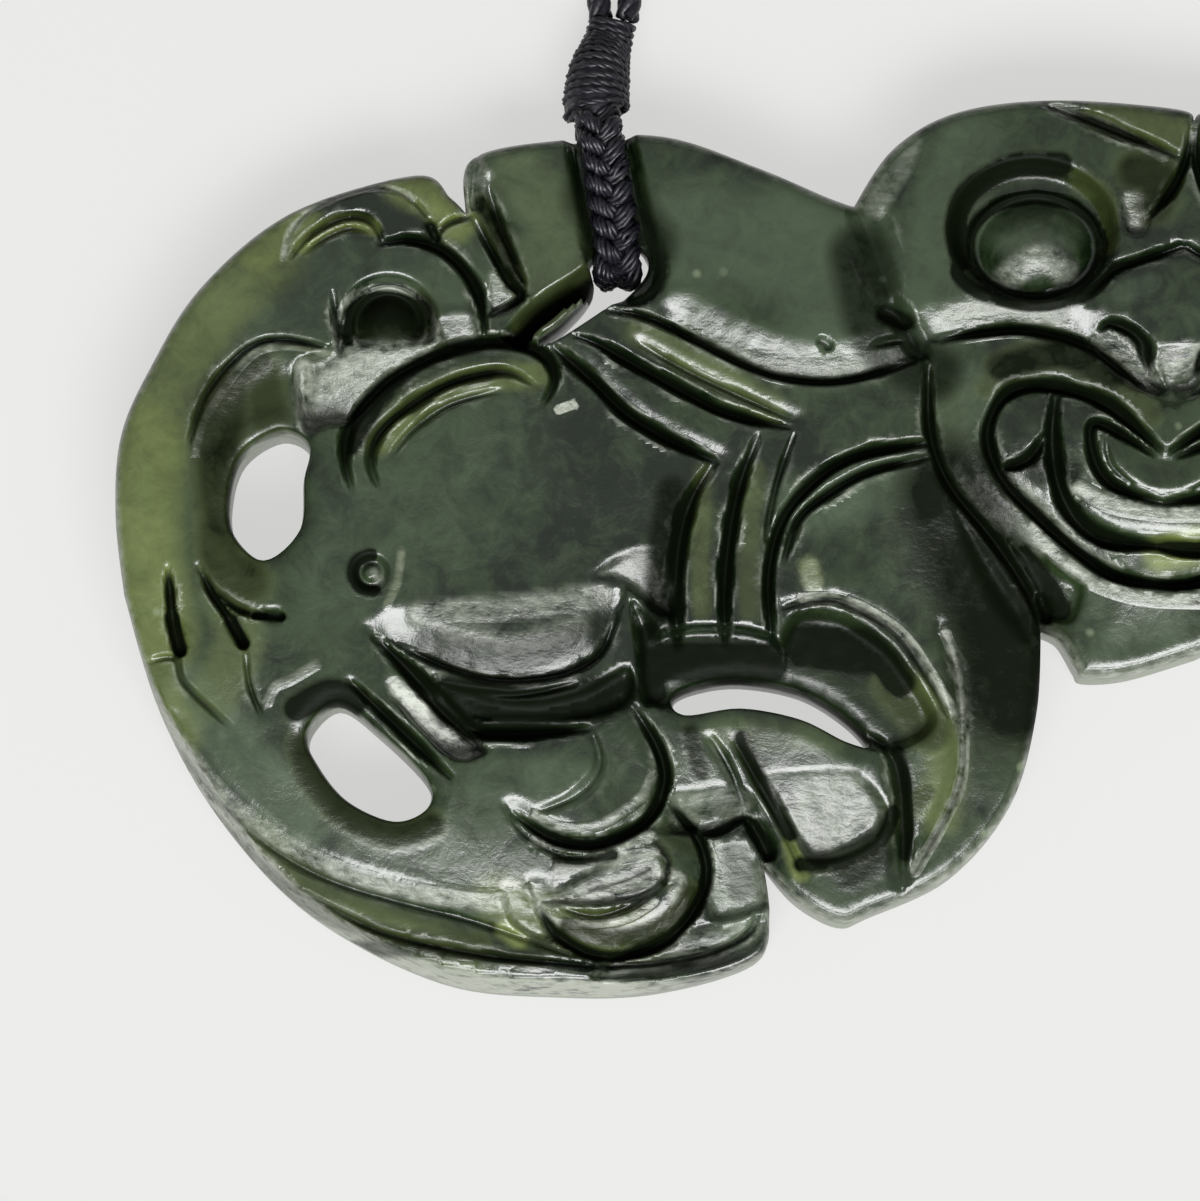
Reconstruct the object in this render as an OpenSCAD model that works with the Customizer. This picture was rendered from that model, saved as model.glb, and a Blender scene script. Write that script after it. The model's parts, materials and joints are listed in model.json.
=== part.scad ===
// Hei tiki pendant of carved jade on a plaited cord, lying on its flat back.
// Millimetres, +X towards the side of the head, +Y towards the cord, +Z out of the carved front.
// The back of the figure lies on Z = 0 and the middle of its outline is over the origin.

/* [Figure] */
// Length of the figure, from the soles of the feet to the far side of the head
body_len = 90; // [75:1:120]
// Width of the figure, from the brow to the rim of the lower leg
body_w = 57.7; // [48:0.1:77]
// Thickness of the stone at the middle of the front
body_t = 9; // [8.5:0.1:12]
// Height of the side wall, where the front starts to round over
rim_t = 6; // [5.6:0.1:7.5]
// How far in from the rim the front goes on rising
shoulder_w = 9; // [6:0.5:12]
// Chamfer round the front edge
edge_chamfer = 0.9; // [0.5:0.1:1.4]

/* [Carving] */
// Width of a main groove at the surface
main_groove_w = 2.4; // [1.6:0.1:3.2]
// Depth of a main groove
main_groove_d = 1.7; // [1:0.1:2.4]
// Width of a fine groove at the surface
fine_groove_w = 1.5; // [0.8:0.1:2]
// Depth of a fine groove
fine_groove_d = 0.9; // [0.5:0.1:1.4]
// Depth of the slope beside a gap between the limbs
gap_slope_d = 1.8; // [0.5:0.1:2.6]
// Width of the slope beside a gap between the limbs
gap_slope_w = 3; // [1.5:0.1:4]
// Diameter of an eye socket across the face
socket_d = 10.8; // [9:0.1:12]
// Depth of an eye socket
socket_depth = 2.4; // [1.2:0.1:3]
// Diameter of the thin ring that stands in an eye socket
eye_ring_d = 8.6; // [7.8:0.1:9.2]
// Width of the thin ring
eye_ring_w = 0.6; // [0.4:0.1:0.8]
// Diameter of the domed disc in an eye socket
eye_disc_d = 6.9; // [5.5:0.1:7.2]
// Width of the bowl carved in the knee beside the belly
knee_bowl_w = 5.6; // [4:0.1:6.2]
// Depth of that bowl
knee_bowl_d = 1.8; // [1:0.1:2.2]
// Outer diameter of the small ring drilled in the belly
drill_ring_d = 2.3; // [1.6:0.1:3]
// Depth of the drilled ring
drill_depth = 0.8; // [0.4:0.1:1.4]
// Width of a drilled pit at the surface
pit_w = 1.4; // [0.8:0.1:1.8]
// How much deeper a pit goes than a main groove
pit_extra_d = 0.5; // [0.2:0.1:0.9]

/* [Plaited cord] */
// Width of the plait that passes through the stone
plait_w = 3.2; // [2.6:0.1:3.4]
// Thickness of the plait
plait_t = 2.2; // [1.8:0.1:2.3]
// Room between the plait and the stone
plait_clear = 0.2; // [0.15:0.05:0.4]
// Stone left between the valley in front and the channel behind
bridge_t = 2.4; // [2:0.1:2.6]
// Width of the valley for the plait at the front surface
valley_w = 5.2; // [4.6:0.1:6.4]
// Width of the thread binding at its thick end
binding_w = 4.5; // [4:0.1:5]
// Height of the thread binding at its thick end
binding_h = 5.9; // [5.6:0.1:6.2]
// Width of the thread binding at its thin end
binding_tip_w = 3.2; // [2.8:0.1:3.6]
// Height of the thread binding at its thin end
binding_tip_h = 2.9; // [2.4:0.1:3.2]

/* [Neck cord] */
// Diameter of each strand of the neck cord
neck_d = 1.6; // [1.2:0.1:1.7]
// Room between a strand and what it passes or meets
neck_clear = 0.15; // [0.1:0.05:0.25]
// Length of each sliding knot
knot_len = 6; // [5:0.5:8]
// Thickness of each sliding knot
knot_d = 3.4; // [3:0.1:3.8]

/* [Hidden] */

jade_colour = [0.24, 0.36, 0.25];
cord_colour = [0.08, 0.08, 0.09];
thread_colour = [0.14, 0.14, 0.16];

// The carving is drawn on a grid of squares, 1400 to the length and 897 to the width,
// counted from the left and top of the view. Every table below holds [across, down] squares.
grid_len = 1400;
grid_wide = 897;
grid_mid = [815, 549.5];
square = body_len / grid_len;
outline_steps = 3;
groove_steps = 2;

// Outline of the figure in smooth runs that meet in corners, from the feet over the top
legs_run = [[124, 600], [115, 520], [120, 440], [150, 370], [200, 290], [290, 215], [415, 177],
            [450, 200], [465, 215]];
arm_run = [[465, 215], [472, 160], [565, 141], [665, 138], [760, 170], [830, 200], [855, 208]];
head_run = [[855, 208], [895, 150], [960, 113], [1060, 101], [1180, 110], [1197, 122]];
far_head_run = [[1197, 122], [1216, 113], [1335, 122], [1440, 158], [1500, 215], [1515, 275],
                [1490, 345], [1430, 430], [1400, 510], [1310, 600], [1200, 658]];
chin_run = [[1200, 658], [1130, 679], [1085, 682], [1076, 672], [1060, 645], [1041, 635]];
elbow_run = [[1041, 635], [1036, 720], [1010, 810], [950, 880], [870, 918], [838, 928],
             [795, 905], [763, 868]];
lower_leg_run = [[763, 868], [769, 920], [755, 965], [660, 994], [560, 998], [440, 984],
                 [310, 917], [220, 823], [160, 718], [124, 600]];

// Gaps right through the stone
upper_leg_gap = [[280, 438], [308, 452], [303, 485], [299, 535], [265, 565], [234, 540],
                 [229, 505], [242, 462]];
lower_leg_gap = [[338, 711], [378, 738], [425, 785], [428, 812], [395, 826], [348, 806],
                 [318, 770], [308, 740]];
lower_arm_gap = [[673, 705], [695, 693], [740, 687], [800, 698], [845, 725], [868, 751],
                 [845, 746], [800, 724], [740, 713], [685, 720]];
cord_gap = [[512, 328], [535, 303], [575, 278], [600, 252], [640, 250], [648, 270],
            [625, 298], [580, 330], [545, 348], [525, 346]];

// Main grooves between head, ribs, arms, legs and hands
neck_groove = [[858, 212], [885, 300], [925, 365], [928, 440], [955, 500], [1000, 565],
               [1036, 612], [1041, 636]];
shoulder_groove = [[776, 640], [773, 575], [800, 520], [850, 482], [930, 460]];
outer_rib_groove = [[562, 332], [640, 376], [720, 412], [790, 434]];
outer_rib_turn = [[790, 434], [755, 500], [738, 570], [735, 650]];
inner_rib_groove = [[545, 350], [600, 395], [660, 441], [714, 466]];
inner_rib_turn = [[714, 466], [689, 520], [681, 580], [690, 650]];
inner_elbow_groove = [[872, 756], [896, 790], [900, 840], [908, 880]];
wrist_groove = [[735, 758], [762, 805], [795, 855], [812, 885]];
first_finger_groove = [[634, 716], [660, 758], [660, 800], [622, 841], [560, 848], [514, 824]];
second_finger_groove = [[668, 808], [700, 848], [704, 893], [672, 944], [610, 965], [560, 942],
                        [537, 908]];
palm_groove = [[700, 838], [748, 826], [764, 866]];
thigh_groove = [[395, 640], [420, 690], [478, 738], [590, 738]];
calf_groove = [[360, 692], [400, 735], [455, 783]];
knee_groove = [[380, 247], [430, 247], [472, 284], [484, 342]];
hand_groove = [[345, 462], [358, 428], [430, 367], [500, 350], [545, 366], [550, 400]];
shin_groove = [[188, 450], [205, 400], [255, 351], [330, 358]];
foot_groove = [[198, 572], [222, 612], [247, 650], [262, 722]];
toe_groove = [[171, 575], [178, 650], [226, 730]];
arm_piece_groove = [[488, 188], [500, 240], [528, 292], [505, 315], [488, 322]];

// Fine grooves inside those forms
upper_arm_line = [[610, 316], [670, 334], [750, 379], [830, 389], [915, 366]];
middle_rib_turn = [[752, 448], [722, 530], [712, 640]];
belly_hand_line = [[372, 468], [395, 430], [460, 388], [525, 398]];
crescent_line = [[288, 268], [310, 240], [350, 221], [380, 246]];
elbow_line = [[948, 640], [958, 720], [958, 780], [910, 878]];
arm_shelf_line = [[778, 616], [850, 622], [910, 660], [948, 716]];
thumb_line = [[590, 735], [597, 775], [535, 820]];
third_finger_line = [[545, 922], [600, 928], [655, 905]];
lens_line = [[435, 672], [500, 692], [570, 682], [612, 640]];
cheek_line = [[940, 346], [1030, 336], [1100, 358], [1152, 400]];

// Features of the left half of the face, which are mirrored in the face's own leaning middle line
face_line_top = [1197, 122];
face_line_foot = [1160, 510];
eye_at = [1037, 246];
brow_groove = [[1045, 106], [1110, 128], [1178, 160]];
nose_bridge_groove = [[1194, 126], [1170, 192], [1122, 262]];
nostril_groove = [[1085, 352], [1120, 334], [1152, 372]];
mouth_groove = [[1162, 460], [1110, 412], [1050, 391], [1000, 402], [986, 440], [1010, 500],
                [1080, 562], [1178, 590]];
inner_lip_groove = [[1054, 396], [1054, 470], [1085, 535], [1176, 556]];
mouth_corner_groove = [[998, 474], [1030, 462], [1050, 438]];
tongue_groove = [[1155, 462], [1096, 428], [1100, 480], [1166, 512]];

// Round and other small carvings
knee_bowl_at = [388, 330];
drill_ring_at = [372, 581];

// Drilled pits where grooves end or meet, each from one end to the other
pits = [[[172, 648], [184, 660]], [[237, 650], [252, 640]], [[262, 631], [282, 625]],
        [[430, 230], [435, 242]], [[347, 470], [353, 486]], [[375, 460], [385, 470]],
        [[886, 318], [905, 328]], [[752, 832], [768, 858]], [[1040, 600], [1060, 606]],
        [[1156, 292], [1168, 284]], [[750, 628], [762, 656]], [[703, 634], [710, 656]]];

// The plait runs down the front valley, through the gap and back up the channel behind
plait_route = [[-14, 28.25, 4.9], [-14, 27.95, 4.95], [-13.85, 26.9, 6], [-13.5, 25, 6.15],
               [-13.1, 22.5, 6.15], [-12.8, 20.5, 6.15], [-12.75, 19.2, 6.1], [-12.7, 18.3, 5.7],
               [-12.7, 17.9, 4.8], [-12.7, 17.9, 2.4], [-12.75, 18.3, 1.5], [-12.8, 19.2, 1.15],
               [-13, 20.5, 1.15], [-13.2, 23, 1.15], [-13.6, 26, 1.15], [-14, 27.95, 1.2],
               [-14, 28.25, 1.2]];
valley_route = [[-14, 29.5], [-13.9, 26.8], [-13.1, 22.5], [-12.5, 19.5], [-12, 17.8]];
channel_route = [[-14.1, 29.5], [-13.6, 26], [-13, 20.5], [-12.8, 18]];

// Stations of the thread binding: [x, y, share of the way from the thick end to the thin end]
binding_stations = [[-14, 28.4, 0], [-14.1, 29, 0], [-13.9, 31, 0.25], [-13.4, 33, 0.85],
                    [-13, 34.6, 1]];

// Each strand of the neck cord leaves the binding and goes half round the pendant
left_route = [[-13.75, 34.85, 1.5], [-14.2, 37.5, 1.2], [-15.6, 41, 0.9], [-18.6, 44.6, 0.8],
              [-23.5, 47.2, 0.8], [-30, 48.3, 0.8], [-38, 47.6, 0.8], [-45, 45, 0.8],
              [-51, 41, 0.8], [-55.4, 35, 0.8], [-58, 27, 0.8], [-59, 17, 0.8],
              [-58.8, 6, 0.8], [-58.6, -6, 0.8], [-59, -17, 0.8], [-58.6, -27, 0.8],
              [-57, -36, 0.8], [-53, -44, 0.8], [-47, -50, 0.8], [-39.5, -54, 0.8],
              [-33.5, -56.2, 1.3], [-30, -57, 1.75], [-27, -57, 1.75], [-24, -57, 1.75],
              [-20.5, -57, 1.3], [-15, -57, 0.8], [-5, -57, 0.8], [5, -57, 0.8],
              [15, -57, 0.8], [20.5, -57, 1.3], [23.85, -57, 1.75]];
right_route = [[-12.05, 34.85, 1.5], [-11.5, 37.5, 1.2], [-9.6, 41, 0.9], [-5.5, 44.4, 0.8],
               [1, 46.8, 0.8], [10, 48.2, 0.8], [20, 48.4, 0.8], [30, 47, 0.8],
               [39, 43.6, 0.8], [46.5, 38, 0.8], [51.8, 30.5, 0.8], [54.6, 21.5, 0.8],
               [55.4, 11, 0.8], [55, 0, 0.8], [54.6, -11, 0.8], [54.8, -21, 0.8],
               [53.6, -31, 0.8], [50.4, -40, 0.8], [45, -47.5, 0.8], [38.5, -52.4, 0.8],
               [33.5, -54.6, 1.3], [30, -55.2, 1.75], [27, -55.2, 1.75], [24, -55.2, 1.75],
               [20.5, -55.2, 1.3], [15, -55.2, 0.8], [5, -55.2, 0.8], [-5, -55.2, 0.8],
               [-15, -55.2, 0.8], [-20.5, -55.2, 1.3], [-23.85, -55.2, 1.75]];
knot_y = [-57, -55.2];
knot_z = 1.75;
knot_x = 27;

cord_sides = 8;
plait_sides = 8;
binding_sides = 16;
knot_sides = 32;
eye_sides = 32;
bowl_sides = 24;
drill_sides = 16;
pit_sides = 10;
// Height of the ring and of the disc in an eye socket, as shares of its depth
eye_ring_rise = 0.75;
eye_disc_rise = 0.85;
// How much wider an eye socket and the knee bowl are one body_t higher than at the bottom
socket_flare = 2;
bowl_flare = 2.6;
bowl_floor_step = 0.6;
// Width of the dome in the knee bowl and of the core in the drilled ring, as shares
bowl_dome_share = 0.7;
drill_core_share = 0.5;
// Size of the thread binding where it starts, as a share of its thick end
binding_start_share = 0.9;
// Room between the binding and the floor
floor_gap = 0.05;
// A route that climbs more steeply than this keeps its width along X
steepest = 0.3;
terrain_cell = 1.05;
// Share of a cell that a corner of the front's grid may slide to meet a carved line
grid_reach = 0.3;
// Power that the wall of a groove falls by: 1 is straight, more is softer at the top
groove_softness = 1.2;
edge_round_w = edge_chamfer * 1.4;
// The grid of the front is moved a little so that no corner of it falls on the outline
grid_shift = [0.13, 0.19];
above = 1;
channel_h = plait_t + plait_clear;
valley_floor = channel_h + bridge_t;

// A place on the drawing grid, in millimetres
function at(p) = [(p[0] - grid_mid[0]) * square, (grid_mid[1] - p[1]) * body_w / grid_wide];
function places(table) = [for (p = table) at(p)];

// The same place on the other half of the face
face_lean = face_line_foot - face_line_top;
face_normal = [face_lean[1], -face_lean[0]] / norm(face_lean);
function mirrored(p) = p - 2 * ((p - face_line_top) * face_normal) * face_normal;
function far_half(table) = [for (p = table) mirrored(p)];

// A smooth curve through the points of a table, open or closed
function blend(a, b, c, d, t) =
    ((2 * b) + (c - a) * t + (2 * a - 5 * b + 4 * c - d) * t * t
     + (3 * b - a - 3 * c + d) * t * t * t) / 2;
function smooth(points, steps = groove_steps) =
    let (last = len(points) - 1)
    [for (i = [0 : last - 1], k = [0 : steps - 1])
        blend(points[max(i - 1, 0)], points[i], points[i + 1], points[min(i + 2, last)], k / steps),
     points[last]];
function smooth_loop(points, steps = outline_steps) =
    let (count = len(points))
    [for (i = [0 : count - 1], k = [0 : steps - 1])
        blend(points[(i + count - 1) % count], points[i], points[(i + 1) % count],
              points[(i + 2) % count], k / steps)];
function without_last(points) = [for (i = [0 : len(points) - 2]) points[i]];

outline_runs = [legs_run, arm_run, head_run, far_head_run, chin_run, elbow_run, lower_leg_run];
outline = [for (run = outline_runs) each without_last(smooth(places(run), outline_steps))];
limb_gaps = [for (gap = [upper_leg_gap, lower_leg_gap, lower_arm_gap]) smooth_loop(places(gap))];
cord_gap_loop = smooth_loop(places(cord_gap));

// Nearest place to a point on one side of a path, and on a whole path
function nearest_on(p, a, b) =
    let (t = max(0, min(1, ((p - a) * (b - a)) / max((b - a) * (b - a), 0.000001)))) a + t * (b - a);
function path_distance(p, path) =
    min([for (i = [0 : len(path) - 2]) norm(p - nearest_on(p, path[i], path[i + 1]))]);
function loop_distance(p, loop) = path_distance(p, concat(loop, [loop[0]]));
function crosses(p, a, b) =
    (a[1] > p[1]) != (b[1] > p[1]) && p[0] < (b[0] - a[0]) * (p[1] - a[1]) / (b[1] - a[1]) + a[0];
function is_inside(p, loop) =
    len([for (i = [0 : len(loop) - 1]) if (crosses(p, loop[i], loop[(i + 1) % len(loop)])) 1]) % 2 == 1;
function depth_inside(p, loop) = loop_distance(p, loop) * (is_inside(p, loop) ? 1 : -1);

// A carved line with its width, its depth and the box that it can reach
function carved(table, width, depth) =
    let (path = smooth(places(table)), xs = [for (q = path) q[0]], ys = [for (q = path) q[1]])
    [path, width, depth, [min(xs), min(ys)] - [1, 1] * width / 2, [max(xs), max(ys)] + [1, 1] * width / 2];
function reaches(line, p) =
    p[0] > line[3][0] && p[1] > line[3][1] && p[0] < line[4][0] && p[1] < line[4][1];

main_grooves = [neck_groove, shoulder_groove, outer_rib_groove, outer_rib_turn, inner_rib_groove,
                inner_rib_turn, inner_elbow_groove, wrist_groove, first_finger_groove,
                second_finger_groove, palm_groove, thigh_groove, calf_groove, knee_groove,
                hand_groove, shin_groove, foot_groove, toe_groove, arm_piece_groove,
                mouth_groove, far_half(mouth_groove), inner_lip_groove, far_half(inner_lip_groove),
                nose_bridge_groove, far_half(nose_bridge_groove)];
fine_grooves = [upper_arm_line, middle_rib_turn, belly_hand_line, crescent_line, elbow_line,
                arm_shelf_line, thumb_line, third_finger_line, lens_line,
                cheek_line, far_half(cheek_line), brow_groove, far_half(brow_groove),
                nostril_groove, far_half(nostril_groove),
                mouth_corner_groove, far_half(mouth_corner_groove),
                tongue_groove, far_half(tongue_groove)];
carved_lines = concat([for (table = main_grooves) carved(table, main_groove_w, main_groove_d)],
                      [for (table = fine_grooves) carved(table, fine_groove_w, fine_groove_d)]);

// Height of the front: it rises from the rim, dips at each gap, and each carved line cuts into it
function rise(share) = sqrt(1 - pow(1 - max(min(share, 1), 0), 2));
function dip(share) = pow(1 - min(share, 1), 2);
function plain_z(p) =
    let (depth = depth_inside(p, outline))
    rim_t + (body_t - rim_t) * rise(depth / shoulder_w) - edge_chamfer * dip(max(depth / edge_round_w, -1))
    - max([for (gap = limb_gaps) gap_slope_d * dip(loop_distance(p, gap) / gap_slope_w)]);
function cut_z(p) =
    max([0, for (line = carved_lines) if (reaches(line, p))
        line[2] * pow(1 - min(path_distance(p, line[0]) / (line[1] / 2), 1), groove_softness)]);
function front_z(p) = plain_z(p) - cut_z(p);

// A corner of the grid slides onto a carved line close by, so that the line stays sharp
function nearest_line(p) =
    let (close = [for (line = carved_lines) if (reaches(line, p))
            for (i = [0 : len(line[0]) - 2])
                let (q = nearest_on(p, line[0][i], line[0][i + 1])) [norm(q - p), q]],
         least = min([grid_reach * terrain_cell, for (c = close) c[0]]),
         best = [for (c = close) if (c[0] == least) c[1]])
    len(best) > 0 ? best[0] : p;

// Faces of a tube whose rings have the same number of points
function tube_faces(rings, sides) = concat(
    [for (i = [0 : rings - 2], k = [0 : sides - 1])
        [i * sides + k, i * sides + (k + 1) % sides,
         (i + 1) * sides + (k + 1) % sides, (i + 1) * sides + k]],
    [[for (k = [0 : sides - 1]) sides - 1 - k], [for (k = [0 : sides - 1]) (rings - 1) * sides + k]]);

// Direction along a path at one of its points
function along(path, i) =
    let (before = path[max(i - 1, 0)], after = path[min(i + 1, len(path) - 1)])
    (after - before) / norm(after - before);
function left_of(direction) = [-direction[1], direction[0]];

// A round or oval tube along a route in space, lying flat side down
function tube_ring(centre, direction, width, height, sides) =
    let (side = cross(direction, [0, 0, 1]),
         across = norm(side) > steepest ? side / norm(side) : [1, 0, 0],
         up = cross(across, direction))
    [for (k = [0 : sides - 1])
        let (angle = 360 * (k + 0.5) / sides)
        centre + across * cos(angle) * width / 2 + up * sin(angle) * height / 2];
module tube(route, width, height, sides) {
    polyhedron(
        points = [for (i = [0 : len(route) - 1])
            each tube_ring(route[i], along(route, i), width, height, sides)],
        faces = tube_faces(len(route), sides),
        convexity = 6);
}

// The carved stone before its gaps and pits are cut
module carved_block() {
    x_count = ceil(body_len / terrain_cell) + 2;
    y_count = ceil(body_w / terrain_cell) + 2;
    function corner(i, j) = [(i - x_count / 2 + grid_shift[0]) * terrain_cell,
                             (j - y_count / 2 + grid_shift[1]) * terrain_cell];
    row = y_count + 1;
    heights = [for (i = [0 : x_count], j = [0 : y_count])
        let (p = nearest_line(corner(i, j))) [p[0], p[1], front_z(p)]];
    feet = [for (h = heights) [h[0], h[1], -above]];
    total = len(heights);
    function id(i, j) = i * row + j;
    rim = concat([for (i = [0 : x_count - 1]) id(i, 0)], [for (j = [0 : y_count - 1]) id(x_count, j)],
                 [for (i = [x_count : -1 : 1]) id(i, y_count)], [for (j = [y_count : -1 : 1]) id(0, j)]);
    intersection() {
        polyhedron(
            points = concat(heights, feet),
            faces = concat(
                [for (i = [0 : x_count - 1], j = [0 : y_count - 1]) each [
                    [id(i, j), id(i, j + 1), id(i + 1, j + 1)],
                    [id(i, j), id(i + 1, j + 1), id(i + 1, j)]]],
                [for (k = [0 : len(rim) - 1]) let (next = rim[(k + 1) % len(rim)])
                    [rim[k], next, next + total, rim[k] + total]],
                [[for (k = [0 : len(rim) - 1]) rim[k] + total]]),
            convexity = 10);
        linear_extrude(height = body_t + above) polygon(outline);
    }
}

// Everything that goes right through
module through_gaps() {
    translate([0, 0, -above])
        linear_extrude(height = body_t + 3 * above) {
            for (gap = limb_gaps) polygon(gap);
            polygon(cord_gap_loop);
        }
}

// The valley that the plait lies in and the channel behind it
module plait_ways() {
    floor_w = plait_w + 2 * plait_clear;
    valley = smooth(valley_route);
    channel = smooth(channel_route);
    valley_points = [for (i = [0 : len(valley) - 1])
        let (side = left_of(along(valley, i)))
        each [[valley[i] + side * valley_w / 2, body_t + above],
              [valley[i] + side * floor_w / 2, valley_floor],
              [valley[i] - side * floor_w / 2, valley_floor],
              [valley[i] - side * valley_w / 2, body_t + above]]];
    channel_points = [for (i = [0 : len(channel) - 1])
        let (side = left_of(along(channel, i)))
        each [[channel[i] + side * floor_w / 2, channel_h],
              [channel[i] + side * floor_w / 2, -above],
              [channel[i] - side * floor_w / 2, -above],
              [channel[i] - side * floor_w / 2, channel_h]]];
    polyhedron(points = [for (p = valley_points) concat(p[0], p[1])],
               faces = tube_faces(len(valley), 4), convexity = 6);
    polyhedron(points = [for (p = channel_points) concat(p[0], p[1])],
               faces = tube_faces(len(channel), 4), convexity = 6);
}

// One eye: a round socket with a thin ring and a domed disc standing in it
module eye(centre) {
    place = at(centre);
    surface = front_z(place);
    floor_z = surface - socket_depth;
    ring_h = socket_depth * eye_ring_rise;
    disc_h = socket_depth * eye_disc_rise;
    disc_sphere = (pow(eye_disc_d / 2, 2) + disc_h * disc_h) / (2 * disc_h);
    translate([place[0], place[1], floor_z])
        difference() {
            cylinder(h = body_t, d1 = socket_d - socket_flare / 2, d2 = socket_d + socket_flare / 2,
                     $fn = eye_sides);
            difference() {
                translate([0, 0, -above])
                    cylinder(h = ring_h + above, d = eye_ring_d + eye_ring_w, $fn = eye_sides);
                cylinder(h = body_t, d = eye_ring_d - eye_ring_w, $fn = eye_sides);
            }
            translate([0, 0, disc_h - disc_sphere]) sphere(r = disc_sphere, $fn = eye_sides);
        }
}

// A bowl with a low dome in it, beside the belly
module knee_bowl() {
    place = at(knee_bowl_at);
    surface = front_z(place);
    dome_w = knee_bowl_w * bowl_dome_share;
    floor_w = knee_bowl_w - bowl_floor_step;
    translate([place[0], place[1], surface - knee_bowl_d])
        difference() {
            cylinder(h = body_t, d1 = floor_w, d2 = floor_w + bowl_flare, $fn = bowl_sides);
            scale([1, 1, knee_bowl_d / dome_w]) sphere(d = dome_w, $fn = bowl_sides);
        }
}

// The ring drilled with a tube in the lower belly
module drilled_ring() {
    place = at(drill_ring_at);
    translate([place[0], place[1], front_z(place) - drill_depth])
        difference() {
            cylinder(h = body_t, d = drill_ring_d, $fn = drill_sides);
            translate([0, 0, -above])
                cylinder(h = body_t, d = drill_ring_d * drill_core_share, $fn = drill_sides);
        }
}

// A drilled pit: two tapered holes run together
module pit(ends) {
    bottom = front_z(at(ends[0])) - main_groove_d - pit_extra_d;
    hull()
        for (end = ends)
            translate([at(end)[0], at(end)[1], bottom])
                cylinder(h = body_t, d1 = pit_w / 2, d2 = pit_w, $fn = pit_sides);
}

// The carved figure, one piece of stone
module tiki() {
    color(jade_colour)
        difference() {
            carved_block();
            through_gaps();
            plait_ways();
            eye(eye_at);
            eye(mirrored(eye_at));
            knee_bowl();
            drilled_ring();
            for (ends = pits) pit(ends);
        }
}

// The plait through the stone, both its legs ending at the binding
module hanging_plait() {
    color(cord_colour) tube(plait_route, plait_w, plait_t, plait_sides);
}

// The binding that holds the two legs of the plait and the neck strands together
module thread_binding() {
    points = [for (i = [0 : len(binding_stations) - 1])
        let (station = binding_stations[i],
             share = station[2],
             start_step = i == 0 ? binding_start_share : 1,
             width = (binding_w + (binding_tip_w - binding_w) * share) * start_step,
             full_h = binding_h + (binding_tip_h - binding_h) * share)
        each [for (k = [0 : binding_sides - 1])
            let (angle = 360 * k / binding_sides)
            [station[0] + cos(angle) * width / 2, station[1],
             floor_gap + full_h / 2 * (1 + sin(angle) * start_step)]]];
    color(thread_colour)
        polyhedron(points = points, faces = tube_faces(len(binding_stations), binding_sides),
                   convexity = 4);
}

module neck_cord_left() {
    color(cord_colour) tube(left_route, neck_d, neck_d, cord_sides);
}

module neck_cord_right() {
    color(cord_colour) tube(right_route, neck_d, neck_d, cord_sides);
}

// A sliding knot: tied in the end of one strand round the other, which runs through it
module slide_knot(passing_y, ending_y) {
    difference() {
        union() {
            for (y = [passing_y, ending_y])
                translate([0, y, knot_z]) rotate([0, 90, 0])
                    cylinder(h = knot_len, d = knot_d, center = true, $fn = knot_sides);
            translate([0, (passing_y + ending_y) / 2, knot_z])
                cube([knot_len, abs(passing_y - ending_y), knot_d], center = true);
        }
        translate([0, passing_y, knot_z]) rotate([0, 90, 0])
            cylinder(h = knot_len + 2 * above, d = neck_d + 2 * neck_clear, center = true,
                     $fn = knot_sides);
    }
}

module slide_knot_left() {
    color(thread_colour) translate([-knot_x, 0, 0]) slide_knot(knot_y[0], knot_y[1]);
}

module slide_knot_right() {
    color(thread_colour) translate([knot_x, 0, 0]) slide_knot(knot_y[1], knot_y[0]);
}

tiki();
hanging_plait();
thread_binding();
neck_cord_left();
neck_cord_right();
slide_knot_left();
slide_knot_right();
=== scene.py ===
"""Hei tiki pendant of carved jade with its plaited loop, thread binding and neck cord."""
import json
import math

import bpy
import numpy as np
from bpy.props import FloatProperty, FloatVectorProperty, IntProperty, PointerProperty
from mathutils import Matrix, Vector
from mathutils.geometry import delaunay_2d_cdt

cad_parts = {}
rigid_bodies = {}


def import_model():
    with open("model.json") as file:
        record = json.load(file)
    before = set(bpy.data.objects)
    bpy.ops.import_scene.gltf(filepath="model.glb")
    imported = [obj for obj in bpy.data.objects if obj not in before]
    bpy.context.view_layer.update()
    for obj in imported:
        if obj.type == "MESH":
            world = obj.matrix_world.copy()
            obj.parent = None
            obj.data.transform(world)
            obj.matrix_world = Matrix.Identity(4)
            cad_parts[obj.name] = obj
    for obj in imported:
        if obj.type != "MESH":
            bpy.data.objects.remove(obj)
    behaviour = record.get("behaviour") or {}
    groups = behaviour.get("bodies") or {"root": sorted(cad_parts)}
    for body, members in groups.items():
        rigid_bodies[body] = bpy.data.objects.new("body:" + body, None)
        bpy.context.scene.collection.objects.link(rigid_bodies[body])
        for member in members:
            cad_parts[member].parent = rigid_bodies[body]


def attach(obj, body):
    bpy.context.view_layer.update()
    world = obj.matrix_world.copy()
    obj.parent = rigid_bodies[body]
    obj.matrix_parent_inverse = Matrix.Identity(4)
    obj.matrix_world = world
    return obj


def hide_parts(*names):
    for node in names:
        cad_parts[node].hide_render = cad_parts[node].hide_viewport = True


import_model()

bl_info = {
    "name": "Hei Tiki Pendant",
    "version": (1, 0, 0),
    "blender": (4, 5, 0),
    "location": "3D View > Sidebar > Pendant",
    "description": "Carved jade hei tiki on a plaited cord, laid on a pale table",
    "category": "Add Mesh",
}

BODY = "root"
MM = 0.001

# Drawing grid of the carving: squares across and down the view
GRID_MID = np.array([815.0, 549.5])
SQUARE_MM = 90 / 1400
SQUARE_DOWN_MM = 57.7 / 897

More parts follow.
